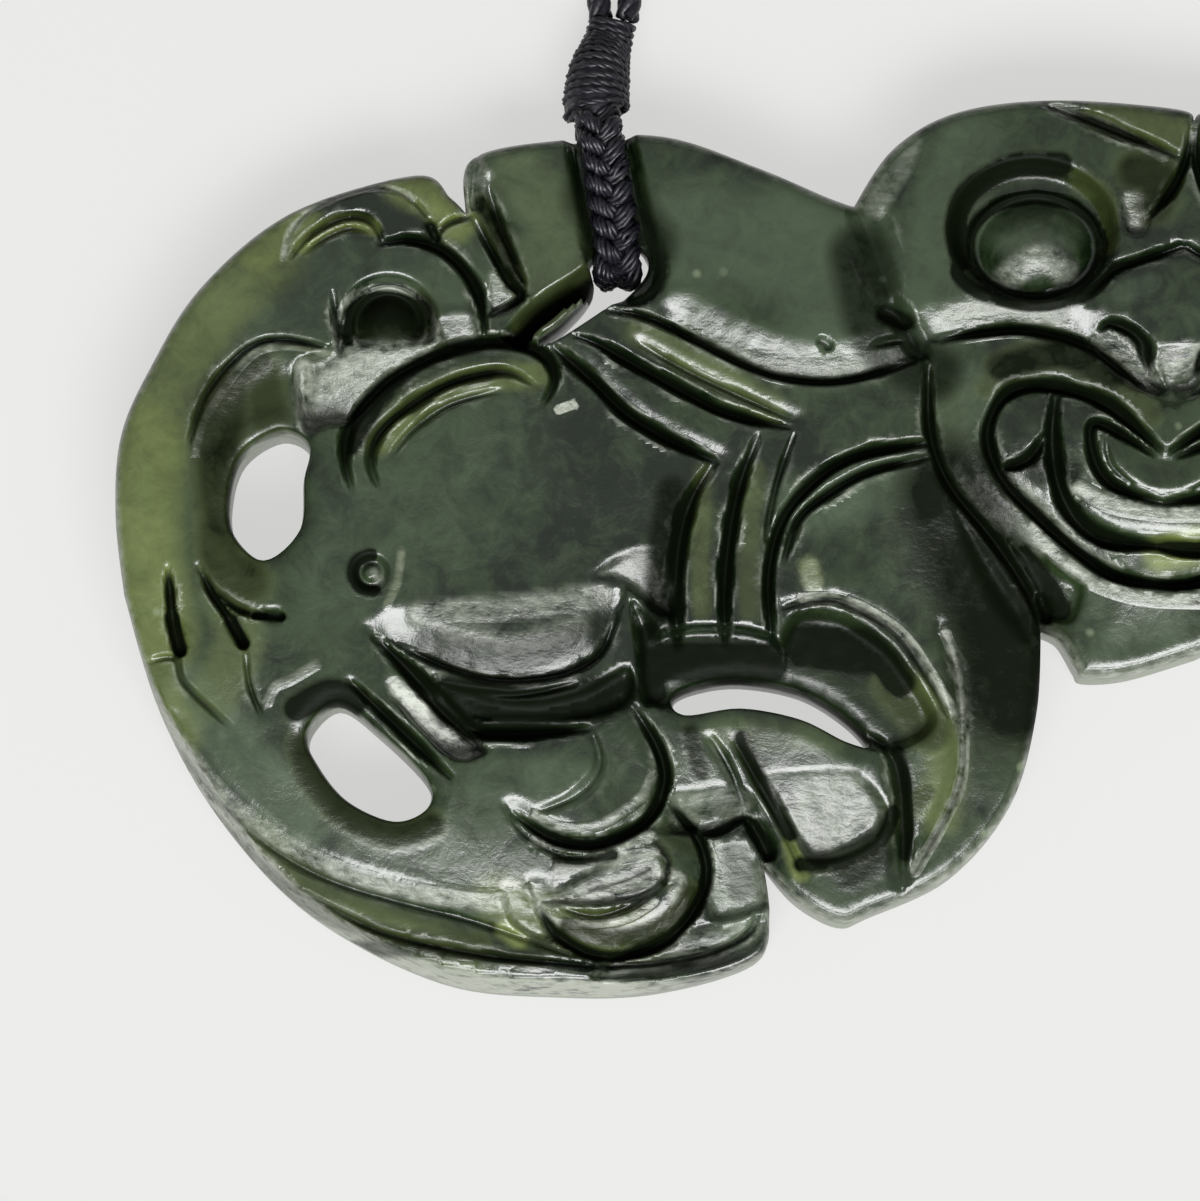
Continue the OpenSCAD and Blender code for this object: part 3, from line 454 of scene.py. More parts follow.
# Ways for the plait, in mm: a valley down the front and a channel up the back, each with its half
# width, its wall and the rows of points beside its middle line, and how near in squares a point counts
VALLEY_ROUTE = [[-14, 29.5], [-13.9, 26.8], [-13.1, 22.5], [-12.5, 19.5], [-12, 17.8]]
CHANNEL_ROUTE = [[-14.1, 29.5], [-13.6, 26], [-13, 20.5], [-12.8, 18]]
VALLEY_FLOOR_MM = 4.8
VALLEY_HALF_MM = 1.75
VALLEY_SLOPE = 4
VALLEY_ROWS_MM = (1.6, 1.75, 1.95, 2.2, 2.5, 2.8)
CHANNEL_TOP_MM = 2.4
CHANNEL_HALF_MM = 1.95
CHANNEL_WALL_MM = 0.15
CHANNEL_ROWS_MM = (1.98, 1.78, 0, -1.78, -1.98)
NEAR_WAY = 60

# Side wall: rounding of the back edge, heights of the rows of points, and tint of its stone (rind,
# painted shade, painted highlight and milky shares), whose pale share paints the table's reflection on
# the wall
BACK_EDGE_MM = 0.3
WALL_ROWS = (0.66, 0.25, 0)
WALL_TINT_AND_HIGHLIGHT = np.array([0.3, 0.0, 0.25, 0.9])

# Points of the back, in squares: start and width of the grid, rows along the channel, clearance of
# the edge
BACK_FROM = (7, 9)
BACK_GRID = 26
CHANNEL_STEP = 5
BACK_CLEAR = 2.5

# Centre lines of the cords, in mm, as in the part's source, with the last ends let into the knots
PLAIT_ROUTE = [[-14, 28.25, 4.9], [-14, 27.95, 4.95], [-13.85, 26.9, 6], [-13.5, 25, 6.15],
               [-13.1, 22.5, 6.15], [-12.8, 20.5, 6.15], [-12.75, 19.2, 6.1], [-12.7, 18.3, 5.7],
               [-12.7, 17.9, 4.8], [-12.7, 17.9, 2.4], [-12.75, 18.3, 1.5], [-12.8, 19.2, 1.15],
               [-13, 20.5, 1.15], [-13.2, 23, 1.15], [-13.6, 26, 1.15], [-14, 27.95, 1.2],
               [-14, 28.25, 1.2]]
BINDING_STATIONS = [[-14, 28.4, 0], [-14.1, 29, 0], [-13.9, 31, 0.25], [-13.4, 33, 0.85], [-13, 34.6, 1]]
LEFT_ROUTE = [[-13.75, 34.85, 1.5], [-14.2, 37.5, 1.2], [-15.6, 41, 0.9], [-18.6, 44.6, 0.8],
              [-23.5, 47.2, 0.8], [-30, 48.3, 0.8], [-38, 47.6, 0.8], [-45, 45, 0.8],
              [-51, 41, 0.8], [-55.4, 35, 0.8], [-58, 27, 0.8], [-59, 17, 0.8],
              [-58.8, 6, 0.8], [-58.6, -6, 0.8], [-59, -17, 0.8], [-58.6, -27, 0.8],
              [-57, -36, 0.8], [-53, -44, 0.8], [-47, -50, 0.8], [-39.5, -54, 0.8],
              [-33.5, -56.2, 1.3], [-30, -57, 1.75], [-27, -57, 1.75], [-24, -57, 1.75],
              [-20.5, -57, 1.3], [-15, -57, 0.8], [-5, -57, 0.8], [5, -57, 0.8],
              [15, -57, 0.8], [20.5, -57, 1.3], [24.3, -57, 1.75]]
RIGHT_ROUTE = [[-12.05, 34.85, 1.5], [-11.5, 37.5, 1.2], [-9.6, 41, 0.9], [-5.5, 44.4, 0.8],
               [1, 46.8, 0.8], [10, 48.2, 0.8], [20, 48.4, 0.8], [30, 47, 0.8],
               [39, 43.6, 0.8], [46.5, 38, 0.8], [51.8, 30.5, 0.8], [54.6, 21.5, 0.8],
               [55.4, 11, 0.8], [55, 0, 0.8], [54.6, -11, 0.8], [54.8, -21, 0.8],
               [53.6, -31, 0.8], [50.4, -40, 0.8], [45, -47.5, 0.8], [38.5, -52.4, 0.8],
               [33.5, -54.6, 1.3], [30, -55.2, 1.75], [27, -55.2, 1.75], [24, -55.2, 1.75],
               [20.5, -55.2, 1.3], [15, -55.2, 0.8], [5, -55.2, 0.8], [-5, -55.2, 0.8],
               [-15, -55.2, 0.8], [-20.5, -55.2, 1.3], [-24.3, -55.2, 1.75]]
KNOT_X_MM = 27
KNOT_Y_MM = -56.1
KNOT_Z_MM = 1.75
KNOT_LEN_MM = 6
KNOT_END_MM = 0.1
KNOT_HALF_MM = (2.2, 1.3)

# Strand of the plait, and the binding's width and height at its foot, with what they lose at its top
PLAIT_STRAND_MM = 0.56
BINDING_WIDE_MM = 4.5
BINDING_WIDE_LOSS_MM = 1.3
BINDING_HIGH_MM = 5.9
BINDING_HIGH_LOSS_MM = 3.0
BINDING_CLEAR_MM = 0.05
BINDING_CORE_IN_MM = 0.22
BINDING_THREAD_MM = 0.26

# Width of the table, and its clearance under the stone
TABLE_WIDE = 3.0
TABLE_CLEAR = 0.04 * MM

# Middle of the view on the drawing grid and above the table, and width of the camera's sensor
VIEW_MID = (600, 605.5)
VIEW_MID_Z_MM = 6.5
SENSOR_MM = 36

# Place and size of the large low window light
WINDOW_PLACE = (0.04, -0.49, 0.68)
WINDOW_SIZE = (0.75, 0.34)

# Sizes of the noise in the stone, from large clouds to fine grain, and colours of its specks and of
# the painted shade in the hollows
CLOUD_SCALE = 70.0
MOTTLE_SCALE = 480.0
GRAIN_SCALE = 2600.0
SCRATCH_SCALE = 1500.0
SPECK_SCALE = 330.0
SPECK_COLOUR = (0.16, 0.2, 0.12, 1)
HOLLOW_SHADE_COLOUR = (0.0025, 0.0042, 0.0016, 1)

# Sizes of the noise in the thread and on the table
FIBRE_SCALE = 3800.0
WAX_SCALE = 650.0
FRAY_SCALE = 1400.0
BOARD_SCALE = 9.0


class StoneSettings(bpy.types.PropertyGroup):
    """Sizes and colours of the carved stone"""
    detail: FloatProperty(name="Detail", description="Spacing of the carving's points",
                          default=0.2 * MM, unit="LENGTH")
    middle_height: FloatProperty(name="Middle height", description="Height of the front at its middle",
                                 default=9 * MM, unit="LENGTH")
    rim_height: FloatProperty(name="Rim height", description="Height of the side wall",
                              default=7.2 * MM, unit="LENGTH")
    edge_round: FloatProperty(name="Edge rounding", description="Radius of the front edge",
                              default=1.0 * MM, unit="LENGTH")
    deep_green: FloatVectorProperty(name="Deep green", description="Colour of the darkest jade",
                                    subtype="COLOR", default=(0.0025, 0.007, 0.0018))
    grey_green: FloatVectorProperty(name="Grey green", description="Colour of the milky jade",
                                    subtype="COLOR", default=(0.019, 0.033, 0.012))
    milky_green: FloatVectorProperty(name="Milky green", description="Colour of the pale clouds",
                                     subtype="COLOR", default=(0.045, 0.066, 0.036))
    # Painted highlight: the pale colour painted on thin edges, the rim, flat cuts and the side wall
    edge_highlight_colour: FloatVectorProperty(name="Pale edge", description="Colour of thin polished edges",
                                   subtype="COLOR", default=(0.25, 0.268, 0.22))
    yellow_green: FloatVectorProperty(name="Yellow green", description="Colour of the pale rind",
                                      subtype="COLOR", default=(0.120, 0.150, 0.038))


class CordSettings(bpy.types.PropertyGroup):
    """Sizes and colour of the cords"""
    strand: FloatProperty(name="Neck strand", description="Diameter of a neck strand",
                          default=1.6 * MM, unit="LENGTH")
    plait_width: FloatProperty(name="Plait width", description="Width of the plait",
                               default=3.2 * MM, unit="LENGTH")
    plait_thickness: FloatProperty(name="Plait thickness", description="Thickness of the plait",
                                   default=2.2 * MM, unit="LENGTH")
    wrap: FloatProperty(name="Wrap spacing", description="Distance between turns of the binding",
                        default=0.5 * MM, unit="LENGTH")
    threads: IntProperty(name="Threads", description="Threads in one strand of the plait", default=7)
    colour: FloatVectorProperty(name="Colour", description="Colour of the waxed thread",
                                subtype="COLOR", default=(0.004, 0.004, 0.006))


class StageSettings(bpy.types.PropertyGroup):
    """Camera, light and table"""
    camera_distance: FloatProperty(name="Camera distance", description="From the stone to the lens",
                                   default=0.65, unit="LENGTH")
    camera_tilt: FloatProperty(name="Camera tilt", description="Lean of the camera towards the feet",
                               subtype="ANGLE", default=math.radians(5))
    view_width: FloatProperty(name="View width", description="Width of the view at the stone",
                              default=77.14 * MM, unit="LENGTH")
    window_power: FloatProperty(name="Window power", description="Power of the large low light",
                                default=11.0)
    sky: FloatProperty(name="Sky", description="Strength of the soft light above", default=1.0)
    table_colour: FloatVectorProperty(name="Table", description="Colour of the table",
                                      subtype="COLOR", default=(0.13, 0.13, 0.128))
    table_glow: FloatProperty(name="Table glow", description="Light of the over-lit table itself",
                              default=0.61)


# Curves and distances on the drawing grid

def smooth(points, steps, closed=False):
    """A Catmull-Rom curve through the points."""
    p = np.array(points, float)
    if closed:
        before, after = np.roll(p, 1, axis=0), np.roll(p, -1, axis=0)
        beyond = np.roll(p, -2, axis=0)
    else:
        before = np.vstack([p[:1], p[:-2]])
        after = p[1:]
        beyond = np.vstack([p[2:], p[-1:]])
        p = p[:-1]
    t = np.arange(steps)[:, None, None] / steps
    curve = (2 * p + (after - before) * t + (2 * before - 5 * p + 4 * after - beyond) * t ** 2
             + (3 * p - before - 3 * after + beyond) * t ** 3) / 2
    curve = curve.transpose(1, 0, 2).reshape(-1, p.shape[1])
    return curve if closed else np.vstack([curve, np.array(points[-1:], float)])


def ring_of(loop):
    """The loop with its first point again at the end."""
    return np.vstack([loop, loop[:1]])


def spaced(line, step, closed=False):
    """The same line with points about step apart."""
    line = ring_of(line) if closed else line
    along = np.concatenate([[0], np.cumsum(np.linalg.norm(np.diff(line, axis=0), axis=1))])
    count = max(2, int(round(along[-1] / step)) + 1)
    at = np.linspace(0, along[-1], count)
    made = np.stack([np.interp(at, along, line[:, k]) for k in range(line.shape[1])], axis=1)
    return made[:-1] if closed else made


def nearest(points, path):
    """Distance from each point to a path, its side (right of travel is positive) and how far along it
    lies, as a share of the length."""
    a, b = path[:-1], path[1:]
    d = b - a
    length = np.linalg.norm(d, axis=1)
    start = np.concatenate([[0], np.cumsum(length)[:-1]])
    rel = points[:, None, :] - a[None]
    t = np.clip((rel * d).sum(2) / np.maximum(length ** 2, 1e-9), 0, 1)
    off = rel - t[..., None] * d
    distance = np.sqrt((off ** 2).sum(2))
    i = distance.argmin(1)
    rows = np.arange(len(points))
    side = d[i, 0] * rel[rows, i, 1] - d[i, 1] * rel[rows, i, 0]
    share = (start[i] + t[rows, i] * length[i]) / length.sum()
    return distance[rows, i], np.sign(side), share


def in_chunks(function, points, size=6000):
    """A function of many points, a few thousand at a time."""
    parts = [function(points[i:i + size]) for i in range(0, len(points), size)]
    if isinstance(parts[0], tuple):
        return tuple(np.concatenate(p) for p in zip(*parts))
    return np.concatenate(parts)


def from_loop(points, loop):
    """Distance from each point to a closed loop."""
    ring = ring_of(loop)
    return in_chunks(lambda p: nearest(p, ring)[0], points)


def eased(share):
    """A share from 0 to 1 with soft ends."""
    return share * share * (3 - 2 * share)


def signed_area(loop):
    """Twice the area of a loop, with a sign for its direction."""
    return (loop[:, 0] * np.roll(loop[:, 1], -1) - loop[:, 1] * np.roll(loop[:, 0], -1)).sum()


def inside(points, loop):
    """Whether each point is inside a closed loop."""
    a, b = loop, np.roll(loop, -1, axis=0)
    rise = b[:, 1] - a[:, 1]
    rise = np.where(rise == 0, 1e-12, rise)
    def count(p):
        x, y = p[:, 0, None], p[:, 1, None]
        crosses = (a[:, 1] > y) != (b[:, 1] > y)
        return (crosses & (x < (b[:, 0] - a[:, 0]) * (y - a[:, 1]) / rise + a[:, 0])).sum(1) % 2 == 1
    return in_chunks(count, points)


def in_stone(points, loops):
    """Whether each point is inside the first loop and outside the others."""
    good = inside(points, loops[0])
    for gap in loops[1:]:
        good &= ~inside(points, gap)
    return good


def near_box(points, path, reach):
    """Indexes of the points within reach of the path's box."""
    low, high = path.min(0) - reach, path.max(0) + reach
    return np.flatnonzero(((points > low) & (points < high)).all(1))


def close_by(points, path, reach):
    """Indexes of the points within reach of the path's box, and what nearest tells about them."""
    near = near_box(points, path, reach)
    if not len(near):
        return near, np.zeros(0), np.zeros(0), np.zeros(0)
    return near, *in_chunks(lambda p: nearest(p, path), points[near])


def mirrored(points):
    """The same places on the other half of the face."""
    lean = FACE_FOOT - FACE_TOP
    normal = np.array([lean[1], -lean[0]]) / np.linalg.norm(lean)
    p = np.array(points, float)
    return p - 2 * ((p - FACE_TOP) @ normal)[..., None] * normal


def to_metres(points):
    """Squares of the drawing grid to metres across the table."""
    x = (points[:, 0] - GRID_MID[0]) * SQUARE_MM
    y = (GRID_MID[1] - points[:, 1]) * SQUARE_DOWN_MM
    return np.stack([x, y], axis=1) * MM


def to_squares(points_mm):
    """Millimetres across the table to squares of the drawing grid."""
    p = np.array(points_mm, float)
    return np.stack([p[:, 0] / SQUARE_MM + GRID_MID[0], GRID_MID[1] - p[:, 1] / SQUARE_DOWN_MM], axis=1)


def ripple(points, length, seed):
    """A smooth uneven surface, about -1 to 1, with waves of about that length."""
    draw = np.random.default_rng(seed)
    total = np.zeros(len(points))
    for _ in range(9):
        turn = draw.uniform(0, 2 * math.pi)
        wave = length * draw.uniform(0.7, 1.5)
        phase = draw.uniform(0, 2 * math.pi)
        along = points[:, 0] * math.cos(turn) + points[:, 1] * math.sin(turn)
        total += np.sin(2 * math.pi * along / wave + phase)
    return total / 4.5


class Carving:
    """The carved front as heights over the drawing grid."""

    def __init__(self, stone):
        self.middle = stone.middle_height / MM
        self.rim = stone.rim_height / MM
        self.round = stone.edge_round / MM
        self.outline = np.vstack([smooth(run, 8)[:-1] for run in OUTLINE_RUNS])
        self.gaps = [smooth(gap, 6, True)
                     for gap in (UPPER_LEG_GAP, LOWER_LEG_GAP, LOWER_ARM_GAP, CORD_GAP)]
        self.cuts = [self.cut(*c) for c in CUTS.values()]
        self.hollows = [(smooth(loop, 5, True), depth, wall) for loop, depth, wall in HOLLOWS]
        for points, width, depth, right, left in FACE_CUTS.values():
            self.cuts.append(self.cut(points, width, depth, right, left))
            self.cuts.append(self.cut(mirrored(points), width, depth, left, right))
        self.valley = to_squares(smooth(VALLEY_ROUTE, 6))
        self.channel = to_squares(smooth(CHANNEL_ROUTE, 6))

    def cut(self, points, width, depth, right, left):
        """A carved line as a smooth path, with its length."""
        path = smooth(points, 5)
        length = np.linalg.norm(np.diff(path, axis=0), axis=1).sum()
        return path, width, depth, right, left, length

    def rows(self, step, loops):
        """Rows of points that follow the carved forms, the sharpest places first."""
        ranked = []
        for path, width, *_ in self.cuts:
            line = spaced(path, step)
            count = max(2, int(round(width / (step * 0.7))))
            for k in range(-count - 1, count + 2):
                ranked.append((abs(k), beside(line, k * width / count)))
        walls = [(loop, wall) for loop, _, wall in self.hollows]
        walls += [(smooth(loop, 4, True), edge) for loop, *_, edge in FACETS]
        for loop, wall in walls:
            loop = spaced(loop, step, True)
            count = max(2, int(round(wall / (step * 1.2))))
            for k in range(count + 1):
                ranked.append((1.5, moved_in(loop, wall * k / count, False)))
        for loop in loops:
            for k in (1, 2, 3, 4):
                ranked.append((0.5, moved_in(loop, step * 0.9 * k, loop is not loops[0])))
        for path, reach, *_ in TINTS:
            if reach < THIN_TINT:
                line = spaced(smooth(path, 4), step)
                ranked += [(0.7, beside(line, reach * off)) for off in (-1.1, -0.6, 0, 0.6, 1.1)]
        for centre, radii, squash in ((SOCKET_AT, SOCKET_RADII[1:], EYE_SQUASH),
                                      (DISC_AT, DISC_RADII[1:], EYE_SQUASH),
                                      (BOWL_AT, BOWL_RADII[1:], 1), (DRILL_AT, DRILL_RADII[1:], 1)):
            for row in ring_rows(centre, radii, squash, step):
                ranked.append((0.4, row))
                if squash < 1:
                    ranked.append((0.4, mirrored(row)))
        for a, b, width, _ in PITS:
            a, b = np.array(a, float), np.array(b, float)
            for share in (0.1, 0.4, 0.7, 1.0, 1.25):
                ring = ring_rows(a * 0, [width * share], 1, step * 0.8)[0]
                ahead = ring @ (b - a) > 0
                ranked.append((0.6, ring + np.where(ahead[:, None], b, a)))
        for wall in STEEP_WALLS:
            line = spaced(smooth(wall, 5), step)
            ranked += [(0.2, beside(line, k * step * 0.8)) for k in range(-1, 9)]
        line = spaced(self.valley, step)
        for off in VALLEY_ROWS_MM:
            ranked += [(0.5, beside(line, off / SQUARE_MM)), (0.5, beside(line, -off / SQUARE_MM))]
        ranked.sort(key=lambda entry: entry[0])
        return [row for _, row in ranked]

    def carved(self, points):
        """How deep the carved lines cut and how far the soft shoulders drop, in mm, and the share of
        painted highlight on the edges beside the lines."""
        sharp, soft, edge = (np.zeros(len(points)) for _ in range(3))
        for path, width, depth, right, left, length in self.cuts:
            reach = max(width * 1.3 + 8, SHOULDER_REACH * right, SHOULDER_REACH * left)
            near, distance, side, along = close_by(points, path, reach)
            drop = left + (right - left) * np.clip(0.5 + 0.5 * side * distance / width, 0, 1)
            from_end = np.minimum(along, 1 - along) * length / min(TAPER * width, 0.3 * length)
            taper = np.clip(from_end, 0.02, 1) ** 0.6
            uneven = 1 + WIDTH_UNEVEN * ripple(points[near], *WIDTH_WAVES)
            wide = width * (0.4 + 0.6 * taper) * uneven
            line = depth * taper * np.clip(1 - (distance / wide) ** 1.6, 0, 1)
            share = np.clip(1 - distance / np.maximum(SHOULDER_REACH * drop, 1), 0, 1)
            roll = drop * (np.sqrt(share ** 2 + ROLL_SOFT) - ROLL_FOOT) / ROLL_SPAN
            # Painted highlight: a pale band just outside each carved line
            edge_highlight = taper * np.clip(1 - np.abs(distance - wide - 1) / EDGE_LIGHT, 0, 1) * min(1, depth)
            sharp[near] = np.maximum(sharp[near], line)
            soft[near] = np.maximum(soft[near], roll)
            edge[near] = np.maximum(edge[near], edge_highlight)
        broken = np.clip(0.45 + LIGHT_UNEVEN * ripple(points, *LIGHT_WAVES), 0.05, 1)
        return sharp, soft, edge * broken * np.clip(1 - sharp / 0.15, 0, 1)

    def share_in(self, points, loop, wall):
        """0 outside a closed loop, rising softly to 1 at a distance inside it."""
        share = np.zeros(len(points))
        near = near_box(points, loop, 0)
        near = near[inside(points[near], loop)] if len(near) else near
        if len(near):
            share[near] = np.clip(from_loop(points[near], loop) / wall, 0, 1)
        return eased(share)

    def eye(self, points):
        """Socket, thin ring and domed disc of one eye."""
        squash = np.array([1, EYE_SQUASH])
        outer = np.linalg.norm((points - SOCKET_AT) / squash, axis=1)
        inner = np.linalg.norm((points - DISC_AT) / squash, axis=1)
        standing = np.interp(inner, DISC_RADII, DISC_HEIGHTS)
        return np.interp(outer, SOCKET_RADII, SOCKET_HEIGHTS) + standing

    def round_carving(self, points, centre, radii, heights):
        """A turned shape round a centre."""
        r = np.linalg.norm(points - centre, axis=1)
        return np.interp(r, radii, heights, right=0)

    def heights(self, points, on_edge=False):
        """Height of the front at each point in mm, and its shares of painted shade, from how deep and how
        worked it is, and of painted highlight on edges and rim.
        """
        depth = np.zeros(len(points)) if on_edge else from_loop(points, self.outline)
        mm = depth * SQUARE_MM
        z = self.rim + (self.middle - self.rim) * eased(np.clip(mm / DOME_REACH_MM, 0, 1))
        sharp, carved, edge = self.carved(points)
        for gap in self.gaps[:3]:
            near, distance, *_ = close_by(points, ring_of(gap), GAP_REACH)
            slope = GAP_DROP_MM * np.clip(1 - distance / GAP_REACH, 0, 1) ** 2
            carved[near] = np.maximum(carved[near], slope)
        for wall in STEEP_WALLS:
            near, distance, side, share = close_by(points, smooth(wall, 5), STEEP_REACH)
            down = np.clip(distance * SQUARE_MM * STEEP_SLOPE, 0, STEEP_DROP_MM)
            beyond = (side > 0) & (share > 0) & (distance < STEEP_REACH)
            carved[near] = np.maximum(carved[near], np.where(beyond, down, 0))
        for start, stop, width, drop in PITS:
            near, distance, *_ = close_by(points, np.array([start, stop], float), width)
            pit = drop * np.clip(1 - (distance / width) ** 2, 0, 1)
            sharp[near] = np.maximum(sharp[near], pit)
        sunk = np.zeros(len(points))
        for loop, drop, wall in self.hollows:
            sunk = np.maximum(sunk, drop * self.share_in(points, loop, wall))
        carved += sunk
        flats = np.zeros(len(points))
        for loop, pivot, fall, slope, blend in FACETS:
            share = self.share_in(points, smooth(loop, 4, True), blend)
            down = (points - np.array(pivot)) @ np.array(fall) / np.linalg.norm(fall) * SQUARE_MM
            flats = np.maximum(flats, share)
            z -= share * slope * np.clip(down, 0, None)
        z -= carved + sharp
        near, distance, _, along = close_by(points, smooth(WORN_EDGE, 5), WORN_WIDE + WORN_BESIDE)
        fade = np.clip(np.minimum(along, 1 - along) * 6, 0, 1)
        worn = np.clip(1 - depth[near] / (WORN_WIDE * fade + 0.1), 0, 1)
        worn *= distance < WORN_WIDE + WORN_BESIDE
        z[near] -= WORN_DROP_MM * fade * worn
        # Painted highlight on the sloping edge: the pale reflection of the table
        edge[near] = np.maximum(edge[near], WORN_EDGE_HIGHLIGHT * np.clip(worn * 5, 0, 1) * fade)
        for flip in (False, True):
            z += self.eye(mirrored(points) if flip else points)
        fade = np.clip((BOWL_FOOT - points[:, 1]) / BOWL_FADE, 0, 1)
        z += self.round_carving(points, BOWL_AT, BOWL_RADII, BOWL_HEIGHTS) * fade
        z += self.round_carving(points, DRILL_AT, DRILL_RADII, DRILL_HEIGHTS)
        disc = np.minimum(np.linalg.norm(points - DISC_AT, axis=1),
                          np.linalg.norm(mirrored(points) - DISC_AT, axis=1))
        worked = np.clip(np.maximum(carved, flats) / 0.4, 0, 1)
        worked = np.maximum(worked, np.clip((DISC_EDGE - disc) / 10, 0, 1))
        # Painted highlight on flat cuts, partly the paler frosted face of the cut
        edge = np.maximum(edge, flats * FLAT_CUT_HIGHLIGHT)
        for polished, further, *wave in TOOL_MARKS:
            z += (polished + further * worked) * ripple(points, *wave)
        near, distance, *_ = close_by(points, self.valley, NEAR_WAY)
        beyond = np.clip(distance * SQUARE_MM - VALLEY_HALF_MM, 0, None)
        z[near] = np.minimum(z[near], VALLEY_FLOOR_MM + beyond * VALLEY_SLOPE)
        inner = np.clip(self.round - mm, 0, None)
        z -= self.round - np.sqrt(np.maximum(self.round ** 2 - inner ** 2, 0))
        # Painted highlight along the rim of the outline, and painted shade from the depth of cuts, slopes
        # and flat cuts
        rim = np.clip(1 - depth / RIM_LIGHT, 0, 1)
        shade_share = carved * SOFT_SLOPE_SHADE + flats * FLAT_CUT_SHADE + sharp
        return z, np.stack([shade_share, np.maximum(edge, rim)], axis=1)

    def back(self, points):
        """Height of the back at each point in mm: flat, with the channel for the plait."""
        z = np.zeros(len(points))
        near, distance, *_ = close_by(points, self.channel, NEAR_WAY)
        share = (CHANNEL_HALF_MM - distance * SQUARE_MM) / CHANNEL_WALL_MM
        z[near] = CHANNEL_TOP_MM * np.clip(share, 0, 1)
        return z


def beside(line, offset):
    """The line moved sideways."""
    ahead = np.gradient(line, axis=0)
    normal = np.stack([-ahead[:, 1], ahead[:, 0]], axis=1)
    return line + normal / np.maximum(np.linalg.norm(normal, axis=1), 1e-9)[:, None] * offset


def ring_rows(centre, radii, squash, step):
    """Closed rows of points round a centre."""
    rows = []
    for radius in radii:
        count = max(6, int(2 * math.pi * radius / step))
        turn = 2 * math.pi * np.arange(count) / count
        rows.append(centre + radius * np.stack([np.cos(turn), squash * np.sin(turn)], axis=1))
    return rows


def scattered(carving, spacing):
    """Points of the front: close rows along every carved form, and a wide grid between them."""
    kept = []
    taken = {}
    cell = spacing * 0.5

    def free(p, gap):
        i, j = int(p[0] // cell), int(p[1] // cell)
        reach = int(gap // cell) + 1
        for a in range(i - reach, i + reach + 1):
            for b in range(j - reach, j + reach + 1):
                for q in taken.get((a, b), ()):
                    if (q[0] - p[0]) ** 2 + (q[1] - p[1]) ** 2 < gap * gap:
                        return False
        return True

    def take(p):
        taken.setdefault((int(p[0] // cell), int(p[1] // cell)), []).append((p[0], p[1]))

    outline = spaced(carving.outline, spacing, True)
    loops = [outline] + [spaced(gap, spacing, True) for gap in carving.gaps]
    for loop in loops:
        for p in loop:
            take(p)
    for row in carving.rows(spacing, loops):
        for p in row:
            gap = HIDDEN_ROW_GAP if p[0] > HIDDEN_FROM else ROW_GAP
            if free(p, spacing * gap):
                take(p)
                kept.append(p)
    low, high = outline.min(0), outline.max(0)
    grid = []
    for start, stop, step in ((low[0], HIDDEN_FROM, spacing * GRID_SHARE),
                              (HIDDEN_FROM, high[0], spacing * GRID_SHARE * HIDDEN_GRID)):
        for j, v in enumerate(np.arange(low[1], high[1], step * math.sqrt(3) / 2)):
            us = np.arange(start + (j % 2) * step / 2, stop, step)
            grid.append(np.stack([us, np.full(len(us), v)], axis=1))
    kept += [p for p in np.vstack(grid) if free(p, spacing * GRID_SHARE * 0.55)]
    points = np.array(kept)
    return loops, points[in_stone(points, loops)]


def filled(loops, points):
    """Triangles over the points inside the first loop and outside the others."""
    corners = np.vstack(loops + [points])
    edges = []
    start = 0
    for loop in loops:
        n = len(loop)
        edges += [(start + i, start + (i + 1) % n) for i in range(n)]
        start += n
    made = delaunay_2d_cdt([Vector(p) for p in corners], edges, [], 0, 1e-5, True)
    where = np.array([v[:] for v in made[0]])
    tris = np.array([f[:] for f in made[2]], int)
    origin = [ids[0] if ids else -1 for ids in made[3]]
    if min(origin) < 0 or len(where) != len(corners):
        raise RuntimeError("the boundary of the stone crosses itself")
    back = np.array(origin, int)
    tris = back[tris]
    on_rim = (tris < start).all(1)
    good = in_stone(corners[tris[on_rim]].mean(1), loops)
    keep = np.ones(len(tris), bool)
    keep[np.flatnonzero(on_rim)[~good]] = False
    tris = tris[keep]
    a, b, c = (corners[tris[:, k]] for k in range(3))
    turn = (b[:, 0] - a[:, 0]) * (c[:, 1] - a[:, 1]) - (b[:, 1] - a[:, 1]) * (c[:, 0] - a[:, 0])
    tris[turn > 0] = tris[turn > 0][:, ::-1]
    return corners, tris, start


def moved_in(loop, amount, hole):
    """A loop moved into the stone, with its corners fanned out."""
    ahead = np.roll(loop, -1, axis=0) - np.roll(loop, 1, axis=0)
    total = np.zeros_like(ahead)
    for k in range(-3, 4):
        total += np.roll(ahead, k, axis=0)
    normal = np.stack([total[:, 1], -total[:, 0]], axis=1)
    normal /= np.maximum(np.linalg.norm(normal, axis=1), 1e-9)[:, None]
    inward = -1 if signed_area(loop) > 0 else 1
    return loop + normal * amount * inward * (-1 if hole else 1)


def added(name, data):
    """A new object in the scene."""
    made = bpy.data.objects.new(name, data)
    bpy.context.scene.collection.objects.link(made)
    return made


def make_mesh(name, points, faces, material, smooth_faces=True):
    """A new mesh object in the scene."""
    mesh = bpy.data.meshes.new(name)
    mesh.from_pydata([tuple(p) for p in points], [], [tuple(int(i) for i in f) for f in faces])
    mesh.materials.append(material)
    mesh.update()
    if smooth_faces:
        mesh.shade_smooth()
    return added(name, mesh)


